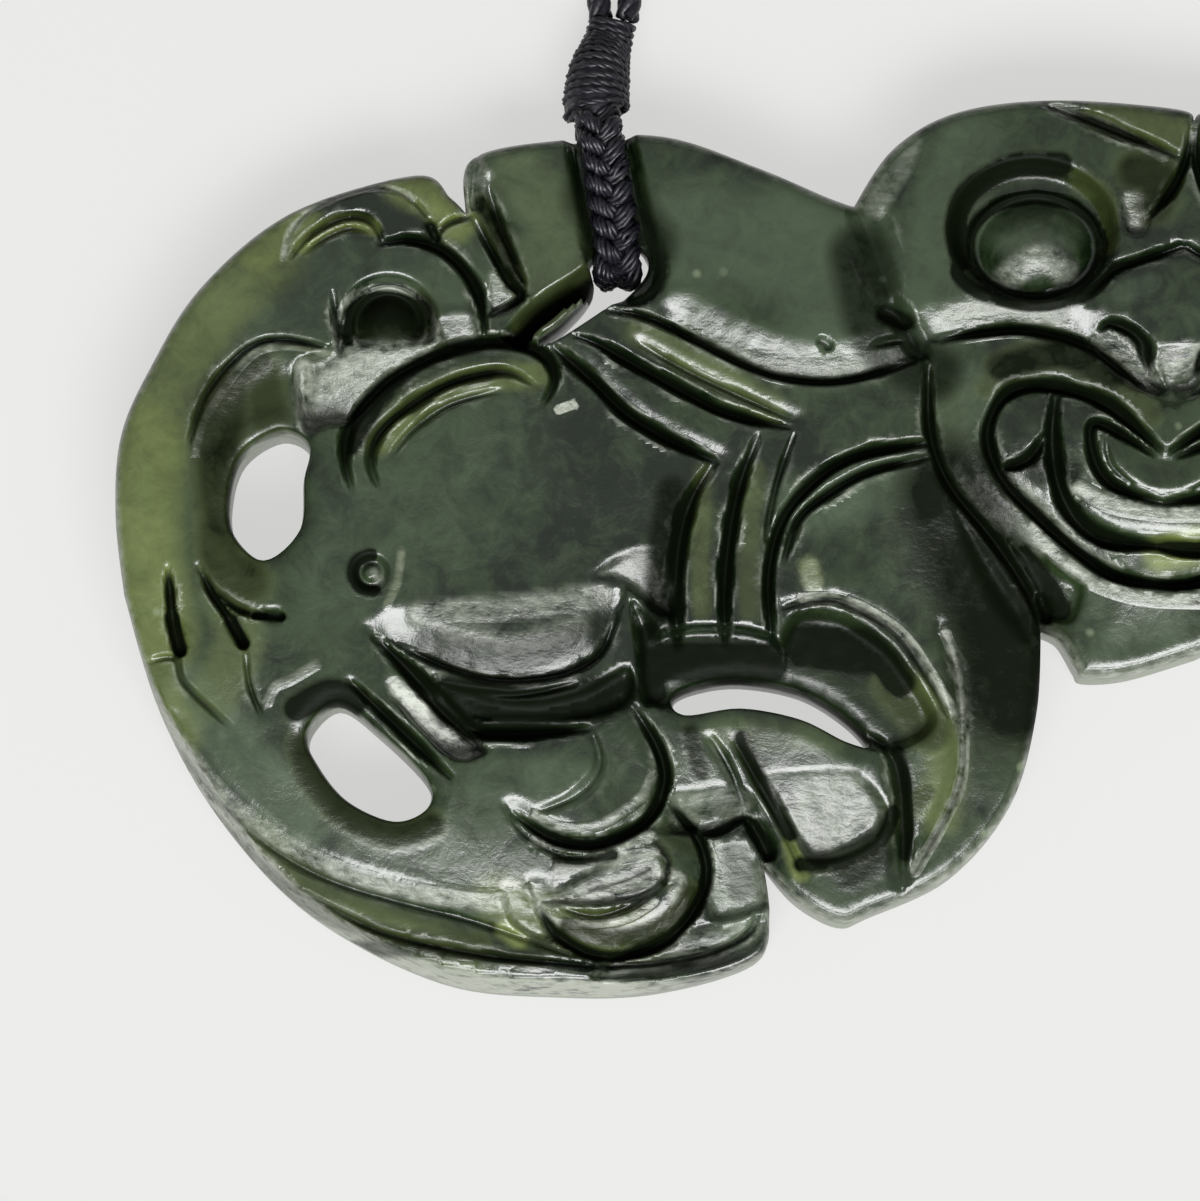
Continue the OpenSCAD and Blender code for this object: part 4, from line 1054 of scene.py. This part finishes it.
class Value:
    """A number or colour in a node tree, with the usual arithmetic."""

    def __init__(self, tree, socket):
        self.tree = tree
        self.socket = socket

    def math(self, operation, *others, swap=False):
        """The result of one step of arithmetic."""
        node = self.tree.nodes.new("ShaderNodeMath")
        node.operation = operation
        values = [self, *others]
        if swap:
            values.reverse()
        for slot, value in zip(node.inputs, values):
            if isinstance(value, Value):
                self.tree.links.new(value.socket, slot)
            else:
                slot.default_value = value
        return Value(self.tree, node.outputs[0])

    def __add__(self, other):
        return self.math("ADD", other)

    def __mul__(self, other):
        return self.math("MULTIPLY", other)

    def __sub__(self, other):
        return self.math("SUBTRACT", other)

    def __rsub__(self, other):
        return self.math("SUBTRACT", other, swap=True)

    def __truediv__(self, other):
        return self.math("DIVIDE", other)


class Graph:
    """Adds nodes to a tree and links them."""

    def __init__(self, tree):
        self.tree = tree

    def add(self, kind, settings=None, inputs=None, out=0):
        """One of the outputs of a new node with these settings and inputs."""
        node = self.tree.nodes.new(kind)
        for name, value in (settings or {}).items():
            setattr(node, name, value)
        for name, value in (inputs or {}).items():
            if isinstance(value, Value):
                self.tree.links.new(value.socket, node.inputs[name])
            else:
                node.inputs[name].default_value = value
        return Value(self.tree, node.outputs[out])

    def parts(self, kind, value, outs):
        """The outputs of a new node that takes a value apart."""
        node = self.add(kind, inputs={0: value}).socket.node
        return [Value(self.tree, node.outputs[k]) for k in outs]

    def clamp(self, value, low, high):
        """Where a value lies from low to high, as a share."""
        return self.add("ShaderNodeMapRange", {"clamp": True},
                        {"Value": value, "From Min": low, "From Max": high})

    def mix_colour(self, factor, first, second):
        """The first colour with a share of the second."""
        return self.add("ShaderNodeMix", {"data_type": "RGBA"},
                        {0: factor, 6: first, 7: second}, out=2)

    def noise(self, place, scale, detail, **more):
        """Clouds of noise over the object."""
        return self.add("ShaderNodeTexNoise",
                        inputs={"Vector": place, "Scale": scale, "Detail": detail, **more})


def rgb(colour):
    """The colour with its alpha."""
    return (colour[0], colour[1], colour[2], 1.0)


def new_material(name, constants):
    """A material with one Principled shader whose constant sockets are set directly."""
    material = bpy.data.materials.new(name)
    material.use_nodes = True
    shader = material.node_tree.nodes["Principled BSDF"]
    for socket, value in constants.items():
        shader.inputs[socket].default_value = value
    return material, Graph(material.node_tree), shader


def feed(graph, shader, **values):
    """Links values to the shader's sockets of those names."""
    for name, value in values.items():
        graph.tree.links.new(value.socket, shader.inputs[name.replace("_", " ")])


def jade_material(stone):
    """Polished nephrite: dark green with milky clouds, a pale rind and specks, with painted highlights on
    its edges and painted shade in its worked hollows.
    """
    material, g, shader = new_material("polished jade", {"IOR": 1.62, "Coat Weight": 0.0})
    coords = g.add("ShaderNodeTexCoord", out="Object")
    # Tint attribute: rind, painted shade, painted highlight (crest) and milky shares
    tone = g.add("ShaderNodeAttribute", {"attribute_name": "tone"}, out="Color")
    milky = Value(g.tree, tone.socket.node.outputs["Alpha"])
    rind, painted_shade, crest = g.parts("ShaderNodeSeparateColor", tone, range(3))
    cloud = g.noise(coords, CLOUD_SCALE, 4.0, Roughness=0.6, Distortion=0.6)
    mottle = g.noise(coords, MOTTLE_SCALE, 6.0, Roughness=0.7, Distortion=0.5)
    grain = g.noise(coords, GRAIN_SCALE, 3.0)
    uneven = (mottle - 0.5) * 1.6 + (cloud - 0.5) * 0.9
    milk = g.clamp(cloud * 0.5 + mottle * 0.5, 0.43, 0.58)
    base = g.mix_colour(milk, rgb(stone.deep_green), rgb(stone.grey_green))
    base = g.mix_colour(g.clamp(milky * (uneven + 0.95), 0.0, 1.0), base, rgb(stone.milky_green))
    base = g.mix_colour(g.clamp(rind * (uneven + 1.0), 0.0, 1.0), base, rgb(stone.yellow_green))
    drawn = g.add("ShaderNodeMapping", inputs={"Vector": coords, "Scale": (0.55, 1.0, 1.0),
                                               "Rotation": (0, 0, 0.35)})
    scratch = g.noise(drawn, SCRATCH_SCALE, 5.0, Roughness=0.6)
    # Painted highlight on edges, rims and flat cuts, broken up by noise
    crumbled = uneven + (scratch - 0.5) * 3.0 + 0.62
    base = g.mix_colour(g.clamp(crest * crumbled, 0.0, 1.0), base, rgb(stone.edge_highlight_colour))
    speck = g.add("ShaderNodeTexVoronoi", {"feature": "F1"}, {"Vector": coords, "Scale": SPECK_SCALE},
                  out="Distance")
    speck_mask = 1 - g.clamp(speck, 0.05, 0.13)
    base = g.mix_colour(speck_mask * g.clamp(cloud, 0.56, 0.62) * 0.6, base, SPECK_COLOUR)
    worked = g.clamp(painted_shade * 0.35 + crest, 0.0, 0.5)
    rough = g.clamp(mottle, 0.3, 0.75) * 0.14 + 0.16 + worked * 0.14
    height = mottle * 0.7 + scratch * (worked * 1.9 + 0.12) + grain * 0.06
    bump = g.add("ShaderNodeBump", inputs={"Height": height, "Strength": 0.5, "Distance": 0.00014})
    feed(g, shader, Base_Color=base, Roughness=rough, Normal=bump)
    # Painted shade: a dark, dull copy of the stone mixed in where the carving is deep or worked
    shaded_stone = g.add("ShaderNodeBsdfPrincipled", inputs={
        "Base Color": HOLLOW_SHADE_COLOUR, "Roughness": 0.55, "Specular IOR Level": 0.04})
    share = g.clamp(painted_shade * (uneven * 0.7 + 1.3), 0.22, 0.95) * 0.98
    polished_stone = Value(g.tree, shader.outputs[0])
    mixed = g.add("ShaderNodeMixShader", inputs={0: share, 1: polished_stone, 2: shaded_stone})
    g.tree.links.new(mixed.socket, g.tree.nodes["Material Output"].inputs["Surface"])
    return material


def thread_material(name, colour, roughness):
    """Waxed thread with fine fibres."""
    material, g, shader = new_material(name, {"IOR": 1.46})
    coords = g.add("ShaderNodeTexCoord", out="Object")
    fibre = g.noise(coords, FIBRE_SCALE, 4.0, Roughness=0.7)
    wax = g.noise(coords, WAX_SCALE, 2.0)
    base = g.mix_colour(g.clamp(fibre, 0.35, 0.7), rgb(colour),
                        (colour[0] * 2.6, colour[1] * 2.6, colour[2] * 2.8, 1))
    rough = g.clamp(wax, 0.3, 0.7) * 0.25 + roughness
    bump = g.add("ShaderNodeBump", inputs={"Height": fibre, "Strength": 0.5, "Distance": 0.00006})
    feed(g, shader, Base_Color=base, Roughness=rough, Normal=bump)
    return material


def table_material(colour, glow):
    """White light board with the faintest unevenness."""
    material, g, shader = new_material("white board", {
        "Specular IOR Level": 0.1, "Emission Color": (1.0, 1.0, 0.985, 1), "Emission Strength": glow})
    coords = g.add("ShaderNodeTexCoord", out="Object")
    soft = g.noise(coords, BOARD_SCALE, 3.0)
    duller = (colour[0] * 0.975, colour[1] * 0.975, colour[2] * 0.97, 1)
    base = g.mix_colour(soft * 0.5, rgb(colour), duller)
    rough = soft * 0.1 + 0.6
    feed(g, shader, Base_Color=base, Roughness=rough)
    return material


# Tree that lays twisted or plaited threads along a path

TREE_NUMBERS = (("Strands", "NodeSocketInt"), ("Pitch", "NodeSocketFloat"),
                ("Lobes", "NodeSocketFloat"), ("Side", "NodeSocketVector"),
                ("Threads", "NodeSocketInt"), ("Thread Pitch", "NodeSocketFloat"),
                ("Thread Spread", "NodeSocketFloat"), ("Thread Radius", "NodeSocketFloat"),
                ("Thread Side", "NodeSocketVector"), ("Step", "NodeSocketFloat"),
                ("Sides", "NodeSocketInt"), ("Fray", "NodeSocketFloat"),
                ("Material", "NodeSocketMaterial"))


def thread_tree():
    """Geometry nodes: strands swing about a path, and each strand is made of twisted threads."""
    tree = bpy.data.node_groups.new("laid threads", "GeometryNodeTree")
    tree.interface.new_socket(name="Geometry", in_out="INPUT", socket_type="NodeSocketGeometry")
    for name, kind in TREE_NUMBERS:
        tree.interface.new_socket(name=name, in_out="INPUT", socket_type=kind)
    tree.interface.new_socket(name="Geometry", in_out="OUTPUT", socket_type="NodeSocketGeometry")
    g = Graph(tree)
    source = tree.nodes.new("NodeGroupInput")
    given = {s.name: Value(tree, s) for s in source.outputs if s.name}

    def vector(operation, *values):
        return g.add("ShaderNodeVectorMath", {"operation": operation}, dict(enumerate(values)))

    def scaled(direction, amount):
        return g.add("ShaderNodeVectorMath", {"operation": "SCALE"}, {0: direction, "Scale": amount})

    def swung(geometry, index, count, pitch, wide, deep, lobes, side):
        length = g.add("GeometryNodeSplineParameter", out="Length")
        turn = (length / pitch + index / count) * (2 * math.pi)
        tangent = g.add("GeometryNodeInputTangent")
        up = vector("NORMALIZE", vector("CROSS_PRODUCT", tangent, side))
        across = vector("NORMALIZE", vector("CROSS_PRODUCT", up, tangent))
        offset = vector("ADD", scaled(across, wide * turn.math("COSINE")),
                        scaled(up, deep * (turn * lobes).math("SINE")))
        return g.add("GeometryNodeSetPosition", inputs={"Geometry": geometry, "Offset": offset})

    def copies(geometry, amount):
        made = g.add("GeometryNodeDuplicateElements", {"domain": "SPLINE"},
                     {"Geometry": geometry, "Amount": amount})
        return made, Value(tree, made.socket.node.outputs[1])

    line = g.add("GeometryNodeMeshToCurve", inputs={"Mesh": given["Geometry"]})
    line = g.add("GeometryNodeResampleCurve", {"mode": "LENGTH"},
                 {"Curve": line, "Length": given["Step"]})
    wide = g.add("GeometryNodeInputNamedAttribute", {"data_type": "FLOAT"}, {"Name": "wide"})
    deep = g.add("GeometryNodeInputNamedAttribute", {"data_type": "FLOAT"}, {"Name": "deep"})
    strands, strand = copies(line, given["Strands"])
    strands = swung(strands, strand, given["Strands"], given["Pitch"], wide, deep,
                    given["Lobes"], given["Side"])
    threads, thread = copies(strands, given["Threads"])
    single = g.add("ShaderNodeValue")
    single.socket.default_value = 1.0
    threads = swung(threads, thread, given["Threads"], given["Thread Pitch"],
                    given["Thread Spread"], given["Thread Spread"], single, given["Thread Side"])
    place = g.add("GeometryNodeInputPosition")
    shifted = scaled(place, thread * 0.05 + strand * 0.02 + 1.0)
    stray = g.add("ShaderNodeTexNoise",
                  inputs={"Vector": shifted, "Scale": FRAY_SCALE, "Detail": 1.0}, out="Color")
    middle = g.add("ShaderNodeCombineXYZ", inputs={"X": 0.5, "Y": 0.5, "Z": 0.5})
    stray = vector("SUBTRACT", stray, middle)
    threads = g.add("GeometryNodeSetPosition", inputs={"Geometry": threads,
                                                       "Offset": scaled(stray, given["Fray"])})
    ring = g.add("GeometryNodeCurvePrimitiveCircle", {"mode": "RADIUS"},
                 {"Resolution": given["Sides"], "Radius": given["Thread Radius"]})
    solid = g.add("GeometryNodeCurveToMesh", inputs={"Curve": threads, "Profile Curve": ring,
                                                     "Fill Caps": True})
    solid = g.add("GeometryNodeSetShadeSmooth", inputs={"Geometry": solid})
    solid = g.add("GeometryNodeRealizeInstances", inputs={"Geometry": solid})
    solid = g.add("GeometryNodeSetMaterial", inputs={"Geometry": solid, "Material": given["Material"]})
    end = tree.nodes.new("NodeGroupOutput")
    tree.links.new(solid.socket, end.inputs[0])
    return tree


def twist(pitch, spread, radius, side):
    """How the threads lie within one strand."""
    return {"Thread Pitch": pitch, "Thread Spread": spread, "Thread Radius": radius,
            "Thread Side": side}


def laid_threads(name, path, wide, deep, **numbers):
    """Threads laid along a path by the tree, turned into a plain mesh."""
    mesh = bpy.data.meshes.new(name)
    mesh.from_pydata([tuple(p) for p in path], [(i, i + 1) for i in range(len(path) - 1)], [])
    for key, values in (("wide", wide), ("deep", deep)):
        layer = mesh.attributes.new(key, "FLOAT", "POINT")
        layer.data.foreach_set("value", np.broadcast_to(values, len(path)).astype(np.float32))
    guide = added(name, mesh)
    tree = bpy.data.node_groups.get("laid threads") or thread_tree()
    modifier = guide.modifiers.new("threads", "NODES")
    modifier.node_group = tree
    for item in tree.interface.items_tree:
        if item.in_out == "INPUT" and item.name in numbers:
            modifier[item.identifier] = numbers[item.name]
    graph = bpy.context.evaluated_depsgraph_get()
    made = bpy.data.meshes.new_from_object(guide.evaluated_get(graph))
    guide.modifiers.remove(modifier)
    guide.data = made
    made.name = name
    return guide


def tube(name, path, wide, deep, material, sides=14):
    """A plain closed tube with oval ends, used as the core under wound thread."""
    path = np.array(path, float)
    ahead = np.gradient(path, axis=0)
    ahead /= np.linalg.norm(ahead, axis=1)[:, None]
    across = np.cross(ahead, (0.0, 0.0, 1.0))
    across /= np.linalg.norm(across, axis=1)[:, None]
    up = np.cross(across, ahead)
    turn = 2 * math.pi * np.arange(sides) / sides
    wide = np.broadcast_to(wide, len(path))
    deep = np.broadcast_to(deep, len(path))
    rings = (path[:, None] + across[:, None] * (np.cos(turn)[None, :, None] * wide[:, None, None])
             + up[:, None] * (np.sin(turn)[None, :, None] * deep[:, None, None]))
    faces = [(i * sides + k, i * sides + (k + 1) % sides, (i + 1) * sides + (k + 1) % sides,
              (i + 1) * sides + k) for i in range(len(path) - 1) for k in range(sides)]
    faces += [tuple(range(sides))[::-1], tuple(range((len(path) - 1) * sides, len(path) * sides))]
    return make_mesh(name, rings.reshape(-1, 3), faces, material)


def placed(piece, slot, *nodes):
    """Sets what the piece rides on and hides the solids that it stands for; slot, its finish, is not
    used.
    """
    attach(piece, BODY)
    if nodes:
        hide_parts(*nodes)
    return piece


class PENDANT_OT_stage(bpy.types.Operator):
    """Add the camera, the light and the table"""
    bl_idname = "pendant.stage"
    bl_label = "Stage"

    def execute(self, context):
        stage = context.scene.pendant_stage
        data = bpy.data.cameras.new("camera")
        camera = added("camera", data)
        context.scene.camera = camera
        across, up = to_metres(np.array([VIEW_MID]))[0]
        target = Vector((across, up, VIEW_MID_Z_MM * MM))
        back = Vector((0, -math.sin(stage.camera_tilt), math.cos(stage.camera_tilt)))
        camera.location = target + back * stage.camera_distance
        camera.rotation_euler = (stage.camera_tilt, 0, 0)
        data.sensor_fit = "HORIZONTAL"
        data.sensor_width = SENSOR_MM
        data.lens = SENSOR_MM * stage.camera_distance / stage.view_width
        data.clip_start = 0.01
        context.scene.view_settings.view_transform = "Standard"
        self.light("window", WINDOW_PLACE, WINDOW_SIZE, stage.window_power)
        world = bpy.data.worlds.new("studio")
        context.scene.world = world
        world.use_nodes = True
        g = Graph(world.node_tree)
        way = g.add("ShaderNodeTexCoord", out="Generated")
        across, up = g.parts("ShaderNodeSeparateXYZ", way, ("Y", "Z"))
        glow = g.clamp(across * -0.72 + up * 0.7, 0.72, 0.97)
        strength = (g.clamp(up, 0.15, 0.6) * 0.38 + 0.07 + glow * 1.1) * stage.sky
        shader = g.tree.nodes["Background"]
        shader.inputs["Color"].default_value = (0.98, 0.99, 1.0, 1)
        g.tree.links.new(strength.socket, shader.inputs["Strength"])
        half = TABLE_WIDE / 2
        square = ((-half, -half), (half, -half), (half, half), (-half, half))
        corners = [(x, y, -TABLE_CLEAR) for x, y in square]
        finish = table_material(stage.table_colour, stage.table_glow)
        table = make_mesh("table", corners, [(0, 1, 2, 3)], finish, False)
        return {"FINISHED"}

    def light(self, name, place, size, power):
        """A flat lamp that points at the middle of the table."""
        data = bpy.data.lights.new(name, "AREA")
        data.shape = "RECTANGLE"
        data.size, data.size_y = size
        data.energy = power
        lamp = added(name, data)
        lamp.location = place
        aim = Vector((0, 0, 0)) - Vector(place)
        lamp.rotation_euler = aim.to_track_quat("-Z", "Y").to_euler()


class PENDANT_OT_figure(bpy.types.Operator):
    """Carve the figure from one piece of jade"""
    bl_idname = "pendant.figure"
    bl_label = "Carved figure"

    def execute(self, context):
        stone = context.scene.pendant_stone
        spacing = stone.detail / MM / SQUARE_MM
        carving = Carving(stone)
        loops, points = scattered(carving, spacing)
        corners, tris, rim_count = filled(loops, points)
        edge_z, edge_cut = carving.heights(corners[:rim_count], on_edge=True)
        z, cut = carving.heights(corners[rim_count:])
        z, cut = np.concatenate([edge_z, z]), np.concatenate([edge_cut, cut])
        flat = to_metres(corners)
        front = np.column_stack([flat, z * MM])
        faces = [tris]
        rings = [front]
        tones = [self.tone(corners, cut)]
        total = len(front)
        bottoms = []
        start = 0
        for i, loop in enumerate(loops):
            n = len(loop)
            ids = np.arange(start, start + n)
            low = carving.back(loop)
            inset = moved_in(loop, BACK_EDGE_MM / SQUARE_MM, i > 0)
            top = z[start:start + n]
            foot = low + BACK_EDGE_MM
            rows = [(loop, foot + (top - foot) * share) for share in WALL_ROWS]
            rows.append((inset, carving.back(inset)))
            for place, height in rows:
                rings.append(np.column_stack([to_metres(place), height * MM]))
                # Side wall and back: stone tint with a painted pale reflection of the table
                tones.append(np.tile(WALL_TINT_AND_HIGHLIGHT, (n, 1)))
                nxt = np.arange(total, total + n)
                quad = np.stack([ids, np.roll(ids, -1), np.roll(nxt, -1), nxt], axis=1)
                faces.append((quad, i == 0))
                ids = nxt
                total += n
            bottoms.append((inset, ids))
            start += n
        low_loops = [b[0] for b in bottoms]
        extra = self.channel_points(carving, low_loops)
        _, back_tris, _ = filled(low_loops, extra)
        ids = np.concatenate([b[1] for b in bottoms] + [np.arange(total, total + len(extra))])
        rings.append(np.column_stack([to_metres(extra), carving.back(extra) * MM]))
        tones.append(np.tile(WALL_TINT_AND_HIGHLIGHT, (len(extra), 1)))
        everything = np.vstack(rings)
        all_faces = [tuple(t) for t in faces[0]]
        area = signed_area(loops[0])
        for quads, outer in faces[1:]:
            turn = (area > 0) == outer
            for q in quads:
                all_faces.append(tuple(q) if turn else tuple(q[::-1]))
        all_faces += [tuple(ids[t[::-1]]) for t in back_tris]
        piece = make_mesh("carved_figure", everything, all_faces, jade_material(stone))
        layer = piece.data.color_attributes.new("tone", "FLOAT_COLOR", "POINT")
        layer.data.foreach_set("color", np.vstack(tones).astype(np.float32).ravel())
        placed(piece, "jade", "tiki")
        print("carved figure", len(all_faces), "faces")
        return {"FINISHED"}

    def channel_points(self, carving, loops):
        """Points of the back: a wide grid, and close rows along the sides of the channel."""
        low, high = loops[0].min(0), loops[0].max(0)
        us, vs = np.meshgrid(np.arange(low[0] + BACK_FROM[0], high[0], BACK_GRID),
                             np.arange(low[1] + BACK_FROM[1], high[1], BACK_GRID))
        points = [np.stack([us.ravel(), vs.ravel()], axis=1)]
        line = spaced(carving.channel, CHANNEL_STEP)
        points += [beside(line, off / SQUARE_MM) for off in CHANNEL_ROWS_MM]
        points = np.vstack(points)
        good = in_stone(points, loops)
        for loop in loops:
            good &= from_loop(points, loop) > BACK_CLEAR
        return points[good]

    def tone(self, corners, cut):
        """Yellow rind, painted shade, painted highlight and milky shares of each point of the front."""
        shares = np.zeros((len(corners), 4))
        for path, reach, *strengths in TINTS:
            near, distance, *_ = close_by(corners, smooth(path, 4), reach)
            soft = eased(np.clip(TINT_CORE - TINT_CORE * distance / reach, 0, 1))
            shares[near] = np.maximum(shares[near], soft[:, None] * np.array(strengths))
        # Painted shade in the carved lines and hollows, deeper cuts darker, and painted highlight on
        # edges and rim
        shares[:, 1] = np.maximum(shares[:, 1], np.clip(cut[:, 0] / FULL_SHADE_AT_MM, 0, 1))
        shares[:, 2] = np.maximum(shares[:, 2], cut[:, 1])
        return shares


class PENDANT_OT_plait(bpy.types.Operator):
    """Plait the loop that goes through the stone"""
    bl_idname = "pendant.plait"
    bl_label = "Hanging plait"

    def execute(self, context):
        cord = context.scene.pendant_cord
        path = smooth(PLAIT_ROUTE, 8) * MM
        strand = PLAIT_STRAND_MM * MM
        piece = laid_threads(
            "hanging_plait_threads", path, cord.plait_width / 2 - strand,
            cord.plait_thickness / 2 - strand,
            Strands=3, Pitch=4.2 * MM, Lobes=2.0, Side=(1.0, 0.0, 0.0), Threads=cord.threads,
            **twist(4.5 * MM, 0.36 * MM, 0.19 * MM, (1.0, 0.0, 0.0)),
            Step=0.14 * MM, Sides=6, Fray=0.55 * MM,
            Material=thread_material("waxed plait", cord.colour, 0.28))
        placed(piece, "waxed_cord", "hanging_plait")
        return {"FINISHED"}


class PENDANT_OT_binding(bpy.types.Operator):
    """Wind the thread binding over the plait's ends and the neck strands"""
    bl_idname = "pendant.binding"
    bl_label = "Thread binding"

    def execute(self, context):
        cord = context.scene.pendant_cord
        stations = smooth(BINDING_STATIONS, 6)
        share = stations[:, 2]
        wide = (BINDING_WIDE_MM - BINDING_WIDE_LOSS_MM * share) / 2
        high = (BINDING_HIGH_MM - BINDING_HIGH_LOSS_MM * share) / 2
        path = np.column_stack([stations[:, :2], BINDING_CLEAR_MM + high]) * MM
        material = thread_material("binding thread", cord.colour, 0.34)
        inset = BINDING_CORE_IN_MM
        core = tube("binding_core", path, (wide - inset) * MM, (high - inset) * MM, material)
        placed(core, "binding_thread", "thread_binding")
        thread = BINDING_THREAD_MM
        wound = laid_threads(
            "binding_turns", path, (wide - thread) * MM, (high - thread) * MM,
            Strands=1, Pitch=cord.wrap, Lobes=1.0, Side=(1.0, 0.0, 0.0), Threads=2,
            **twist(1.6 * MM, 0.09 * MM, 0.17 * MM, (0.0, 1.0, 0.0)),
            Step=0.012 * MM, Sides=6, Fray=0.16 * MM, Material=material)
        placed(wound, "binding_thread")
        return {"FINISHED"}


class PENDANT_OT_neck_cords(bpy.types.Operator):
    """Lay the two strands of the neck cord and tie their sliding knots"""
    bl_idname = "pendant.neck_cords"
    bl_label = "Neck cords and knots"

    def execute(self, context):
        cord = context.scene.pendant_cord
        material = thread_material("waxed neck cord", cord.colour, 0.3)
        knots = [self.knot("sliding_knot_left", -KNOT_X_MM, material, "slide_knot_left"),
                 self.knot("sliding_knot_right", KNOT_X_MM, material, "slide_knot_right")]
        pieces = [bpy.data.objects[n] for n in ("hanging_plait_threads", "binding_core", "binding_turns")]
        self.strand("neck_strand_left", LEFT_ROUTE, material, "neck_cord_left", [knots[1]] + pieces)
        self.strand("neck_strand_right", RIGHT_ROUTE, material, "neck_cord_right", [knots[0]])
        return {"FINISHED"}

    def strand(self, name, route, material, node, pieces):
        """One half of the neck cord."""
        cord = bpy.context.scene.pendant_cord
        path = smooth(route, 8) * MM
        ply = cord.strand * 0.25
        piece = laid_threads(
            name, path, cord.strand / 2 - ply, cord.strand / 2 - ply,
            Strands=4, Pitch=4.4 * MM, Lobes=1.0, Side=(0.0, 0.0, 1.0), Threads=1,
            **twist(1.0, 0.0, ply, (0.0, 0.0, 1.0)),
            Step=0.35 * MM, Sides=8, Fray=0.0, Material=material)
        placed(piece, "waxed_cord", node)

    def knot(self, name, x, material, node):
        """The wound turns of one sliding knot."""
        half = KNOT_LEN_MM / 2 - KNOT_END_MM
        ends = np.array([[x - half, KNOT_Y_MM, KNOT_Z_MM], [x + half, KNOT_Y_MM, KNOT_Z_MM]])
        path = spaced(ends, 0.3) * MM
        wide, high = KNOT_HALF_MM
        piece = laid_threads(
            name, path, wide * MM, high * MM,
            Strands=1, Pitch=0.85 * MM, Lobes=1.0, Side=(0.0, 1.0, 0.0), Threads=2,
            **twist(1.9 * MM, 0.17 * MM, 0.23 * MM, (1.0, 0.0, 0.0)),
            Step=0.03 * MM, Sides=6, Fray=0.0, Material=material)
        return placed(piece, "waxed_cord", node)


class PENDANT_PT_panel(bpy.types.Panel):
    """Settings and pieces of the pendant"""
    bl_idname = "PENDANT_PT_panel"
    bl_label = "Hei Tiki Pendant"
    bl_space_type = "VIEW_3D"
    bl_region_type = "UI"
    bl_category = "Pendant"

    def draw(self, context):
        for kind in OPERATORS:
            self.layout.operator(kind.bl_idname)
        for group in SETTINGS:
            settings = getattr(context.scene, group)
            box = self.layout.box()
            for name in settings.__annotations__:
                box.prop(settings, name)


OPERATORS = (PENDANT_OT_stage, PENDANT_OT_figure, PENDANT_OT_plait, PENDANT_OT_binding,
             PENDANT_OT_neck_cords)
SETTINGS = {"pendant_stone": StoneSettings, "pendant_cord": CordSettings,
            "pendant_stage": StageSettings}
CLASSES = (*SETTINGS.values(), *OPERATORS, PENDANT_PT_panel)


def register():
    for kind in CLASSES:
        bpy.utils.register_class(kind)
    for name, kind in SETTINGS.items():
        setattr(bpy.types.Scene, name, PointerProperty(type=kind))


def unregister():
    for name in SETTINGS:
        delattr(bpy.types.Scene, name)
    for kind in reversed(CLASSES):
        bpy.utils.unregister_class(kind)


def main():
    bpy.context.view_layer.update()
    register()
    bpy.ops.pendant.stage()
    bpy.ops.pendant.figure()
    bpy.ops.pendant.plait()
    bpy.ops.pendant.binding()
    bpy.ops.pendant.neck_cords()


if __name__ == "__main__":
    main()
